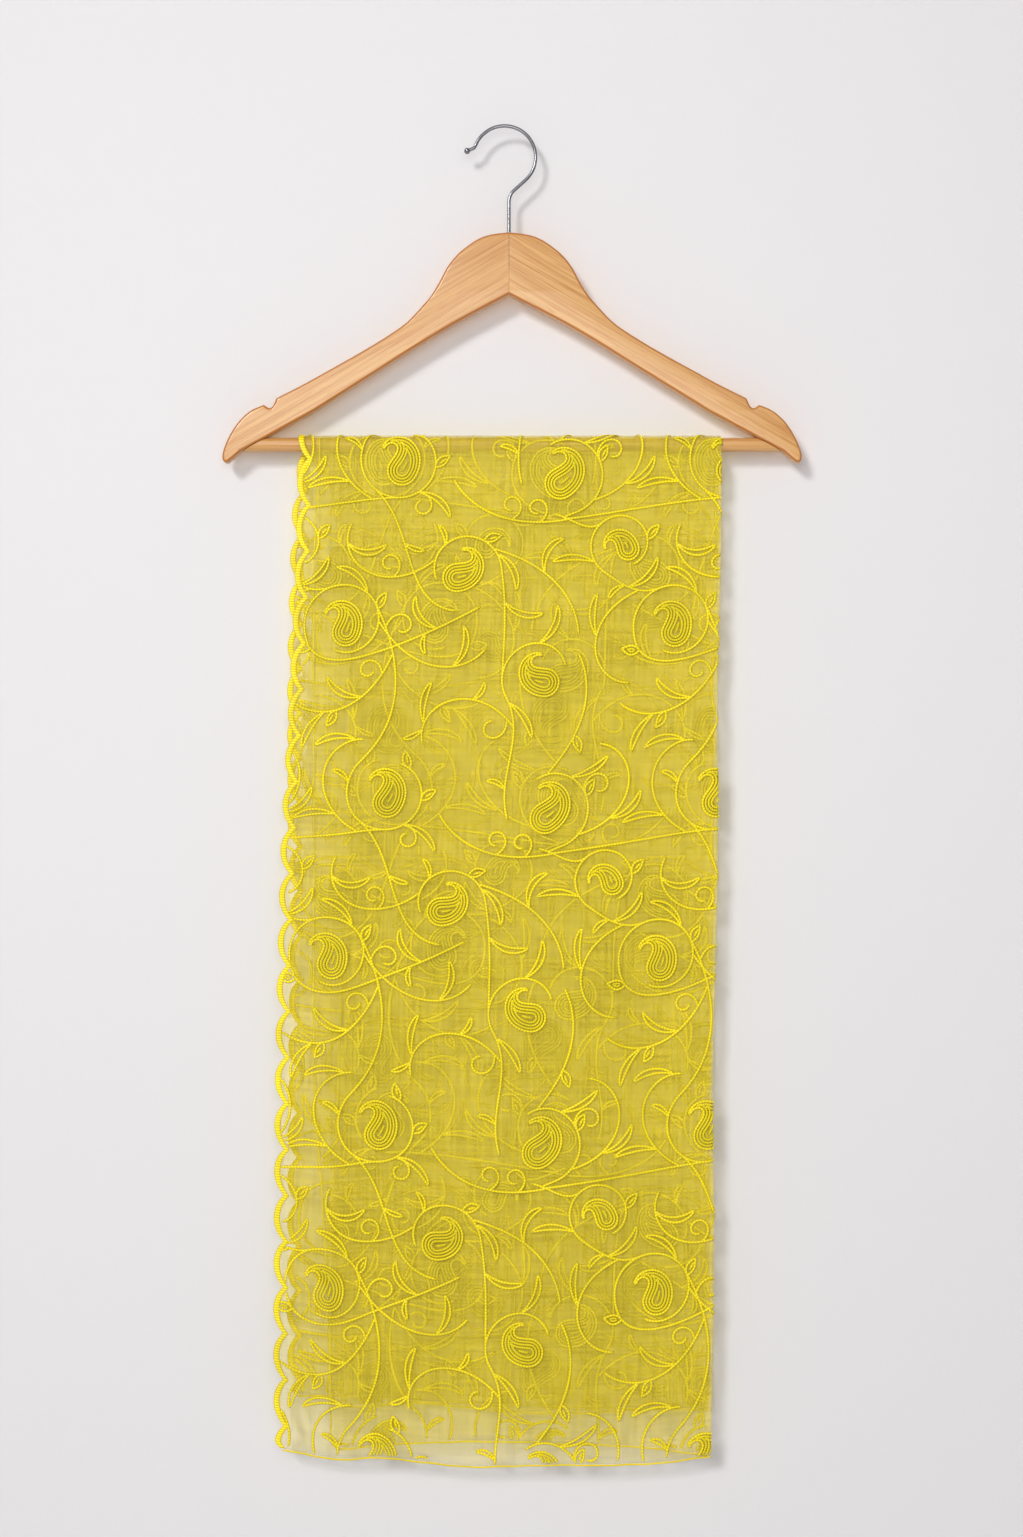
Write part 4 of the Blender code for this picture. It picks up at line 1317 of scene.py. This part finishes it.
class STOLE_OT_bar(bpy.types.Operator):
    """Turn the round bar with its slanted shoulders and tenons."""

    bl_idname = "stole.bar"
    bl_label = "Hanger bar"

    def execute(self, context):
        settings = context.scene.hanger
        deselect()
        left, right = SEAM_X - bar_end(ARM_REACH_LEFT), SEAM_X + bar_end(ARM_REACH_RIGHT)
        over = BAR_RADIUS / UNDERSIDE_SLOPE
        bpy.ops.mesh.primitive_cylinder_add(
            vertices=48, radius=BAR_RADIUS, depth=right - left + 2 * over + 0.002,
            location=((left + right) / 2, 0, -BAR_BELOW_ORIGIN), rotation=(0, math.pi / 2, 0))
        thing = bpy.context.object
        thing.name = thing.data.name = "bar_turned"
        bpy.ops.object.transform_apply(location=True, rotation=True, scale=True)
        bpy.ops.object.mode_set(mode="EDIT")
        for end, way, reach in ((left, -1, ARM_REACH_LEFT), (right, 1, ARM_REACH_RIGHT)):
            slope = UNDERSIDE_SLOPE * ARM_REACH_LEFT / reach
            bpy.ops.mesh.select_all(action="SELECT")
            bpy.ops.mesh.bisect(plane_co=(end, 0, -BAR_BELOW_ORIGIN), plane_no=(way * slope, 0, 1),
                                use_fill=True,
                                clear_outer=True, threshold=1e-7)
            bpy.ops.mesh.inset(thickness=BAR_RADIUS - TENON_RADIUS)
            bpy.ops.mesh.extrude_region_move(TRANSFORM_OT_translate={"value": (way * TENON_LENGTH, 0, 0)})
        bpy.ops.object.mode_set(mode="OBJECT")
        bpy.ops.object.shade_smooth_by_angle(angle=math.radians(40))
        thing.data.materials.append(lacquered_wood("Lacquered lotus wood, bar", settings, 0.0, 0.12))
        own(thing, "wood", "hanger_bar")
        return {"FINISHED"}


class STOLE_OT_hook(bpy.types.Operator):
    """Bend the wire hook and put the ball on its end."""

    bl_idname = "stole.hook"
    bl_label = "Hanger hook"

    def execute(self, context):
        settings = context.scene.hanger
        middle = settings.wire_radius - CROOK_RADIUS
        rise = math.cos(NECK_BEND)
        run_up = (CROOK_RADIUS * rise - SEAM_X - NECK_BEND_RADIUS * (1 - rise)) / math.sin(NECK_BEND)
        neck = middle - (CROOK_RADIUS + NECK_BEND_RADIUS) * math.sin(NECK_BEND) - run_up * rise
        foot = -BAR_BELOW_ORIGIN + CROWN_ABOVE_BAR - STEM_IN_WOOD
        points, heading = bent_wire(Vector((SEAM_X, 0, foot)), math.pi / 2, [
            (neck - foot, 0.0),
            (NECK_BEND_RADIUS, -NECK_BEND),
            (run_up, 0.0),
            (CROOK_RADIUS, CROOK_TURN),
            (LIP_BEND_RADIUS, -LIP_BEND),
            (LIP_RUN, 0.0),
        ])
        thing = curve_piece("hook_wire",
                            [(points[0], points[0], points[1]), (points[1], points[0], points[1])], False)
        data = thing.data
        data.splines.clear()
        data.dimensions, data.bevel_depth, data.bevel_resolution = "3D", settings.wire_radius, 5
        data.use_fill_caps = True
        wire = data.splines.new("POLY")
        wire.points.add(len(points) - 1)
        for knot, point in zip(wire.points, points):
            knot.co = (*point, 1.0)
        thing = to_mesh(thing, math.radians(50))
        away = Vector((math.cos(heading), 0, math.sin(heading)))
        reach = settings.ball_radius * math.cos(math.asin(settings.wire_radius / settings.ball_radius))
        deselect()
        bpy.ops.mesh.primitive_uv_sphere_add(segments=28, ring_count=18, radius=settings.ball_radius,
                                             location=points[-1] + away * reach)
        ball = bpy.context.object
        bpy.ops.object.transform_apply(location=True, rotation=True, scale=True)
        bpy.ops.object.shade_smooth()
        thing.select_set(True)
        ball.select_set(True)
        bpy.context.view_layer.objects.active = thing
        bpy.ops.object.join()
        thing.data.materials.clear()
        thing.data.materials.append(plated_steel(settings))
        own(thing, "wire", "hanger_hook")
        return {"FINISHED"}


class STOLE_OT_studio(bpy.types.Operator):
    """Set up the wall, the floor, the lights and the camera."""

    bl_idname = "stole.studio"
    bl_label = "Studio"

    def execute(self, context):
        settings = context.scene.studio
        deselect()
        bpy.ops.mesh.primitive_plane_add(size=6.0,
                                        location=(0, settings.wall_behind, -settings.floor_below + 3.0),
                                         rotation=(math.pi / 2, 0, 0))
        wall = bpy.context.object
        wall.name = "wall"
        bpy.ops.object.transform_apply(location=True, rotation=True, scale=True)
        wall.data.materials.append(matt_paint(settings, True))
        wall.visible_shadow = False
        deselect()
        bpy.ops.mesh.primitive_plane_add(size=12.0, location=(0, 0, -settings.floor_below))
        floor = bpy.context.object
        floor.name = "floor"
        bpy.ops.object.transform_apply(location=True, rotation=True, scale=True)
        floor.data.materials.append(matt_paint(settings, False))
        for name, place, target, size, power in (
            ("key", Vector((-2.2, -4.6, 1.9)), Vector((0.1, 0, -0.7)), 1.1, settings.key_power),
            ("front", Vector((-0.1, -1.5, -0.2)), Vector((0, 0, -0.5)), 0.8, settings.front_power),
            ("behind", Vector((0.9, 2.2, 0.6)), Vector((0, 0, -0.55)), 1.6, settings.back_power),
        ):
            bpy.ops.object.light_add(type="AREA", location=place,
                                     rotation=(target - place).to_track_quat("-Z", "Y").to_euler())
            light = bpy.context.object
            light.name, light.data.size, light.data.energy = name, size, power
        world = bpy.data.worlds.new("Studio air")
        world.use_nodes = True
        air = world.node_tree.nodes["Background"]
        air.inputs["Color"].default_value = (1.0, 0.99, 0.985, 1.0)
        # The studio looks pale behind the object without flooding its shadows
        seen = add_node(world.node_tree, "ShaderNodeLightPath").outputs["Is Camera Ray"]
        strength = add_node(world.node_tree, "ShaderNodeMapRange",
                            {"To Min": settings.ambient, "To Max": settings.backdrop}, {"Value": seen})
        world.node_tree.links.new(strength.outputs[0], air.inputs["Strength"])
        context.scene.world = world
        bpy.ops.object.camera_add(location=(0.00539, -1.643, -0.4932), rotation=(math.pi / 2, 0, 0))
        camera = bpy.context.object
        camera.data.lens, camera.data.sensor_width, camera.data.clip_start = 50.0, 36.0, 0.01
        context.scene.camera = camera
        context.scene.view_settings.view_transform = "Standard"
        cycles = context.scene.cycles
        cycles.transparent_max_bounces = 32
        cycles.max_bounces, cycles.diffuse_bounces, cycles.glossy_bounces = 3, 2, 2
        cycles.caustics_reflective = cycles.use_light_tree = False
        return {"FINISHED"}


OPERATORS = (STOLE_OT_net, STOLE_OT_band, STOLE_OT_hems, STOLE_OT_vines, STOLE_OT_paisleys, STOLE_OT_declare,
             STOLE_OT_arms, STOLE_OT_bar, STOLE_OT_hook, STOLE_OT_studio)
GROUPS = (("stole", StoleSettings), ("hanger", HangerSettings), ("studio", StudioSettings))


class STOLE_PT_panel(bpy.types.Panel):
    """The pieces of the stole and its hanger, in the order in which they are made."""

    bl_idname = "STOLE_PT_panel"
    bl_label = "Embroidered stole"
    bl_space_type = "VIEW_3D"
    bl_region_type = "UI"
    bl_category = "Stole"

    def draw(self, context):
        for group, kind in GROUPS:
            box = self.layout.box()
            box.label(text=kind.__doc__)
            for name in kind.__annotations__:
                box.prop(getattr(context.scene, group), name)
        for operator in OPERATORS:
            self.layout.operator(operator.bl_idname)


CLASSES = (*(kind for _, kind in GROUPS), *OPERATORS, STOLE_PT_panel)


def register():
    """Add the classes and the settings."""
    for made in CLASSES:
        bpy.utils.register_class(made)
    for name, kind in GROUPS:
        setattr(bpy.types.Scene, name, PointerProperty(type=kind))


def unregister():
    """Take the settings and the classes away."""
    for name, _ in GROUPS:
        delattr(bpy.types.Scene, name)
    for made in reversed(CLASSES):
        bpy.utils.unregister_class(made)


def main():
    """Make everything, in order."""
    register()
    for operator in OPERATORS:
        group, name = operator.bl_idname.split(".")
        getattr(getattr(bpy.ops, group), name)()


if __name__ == "__main__":
    main()
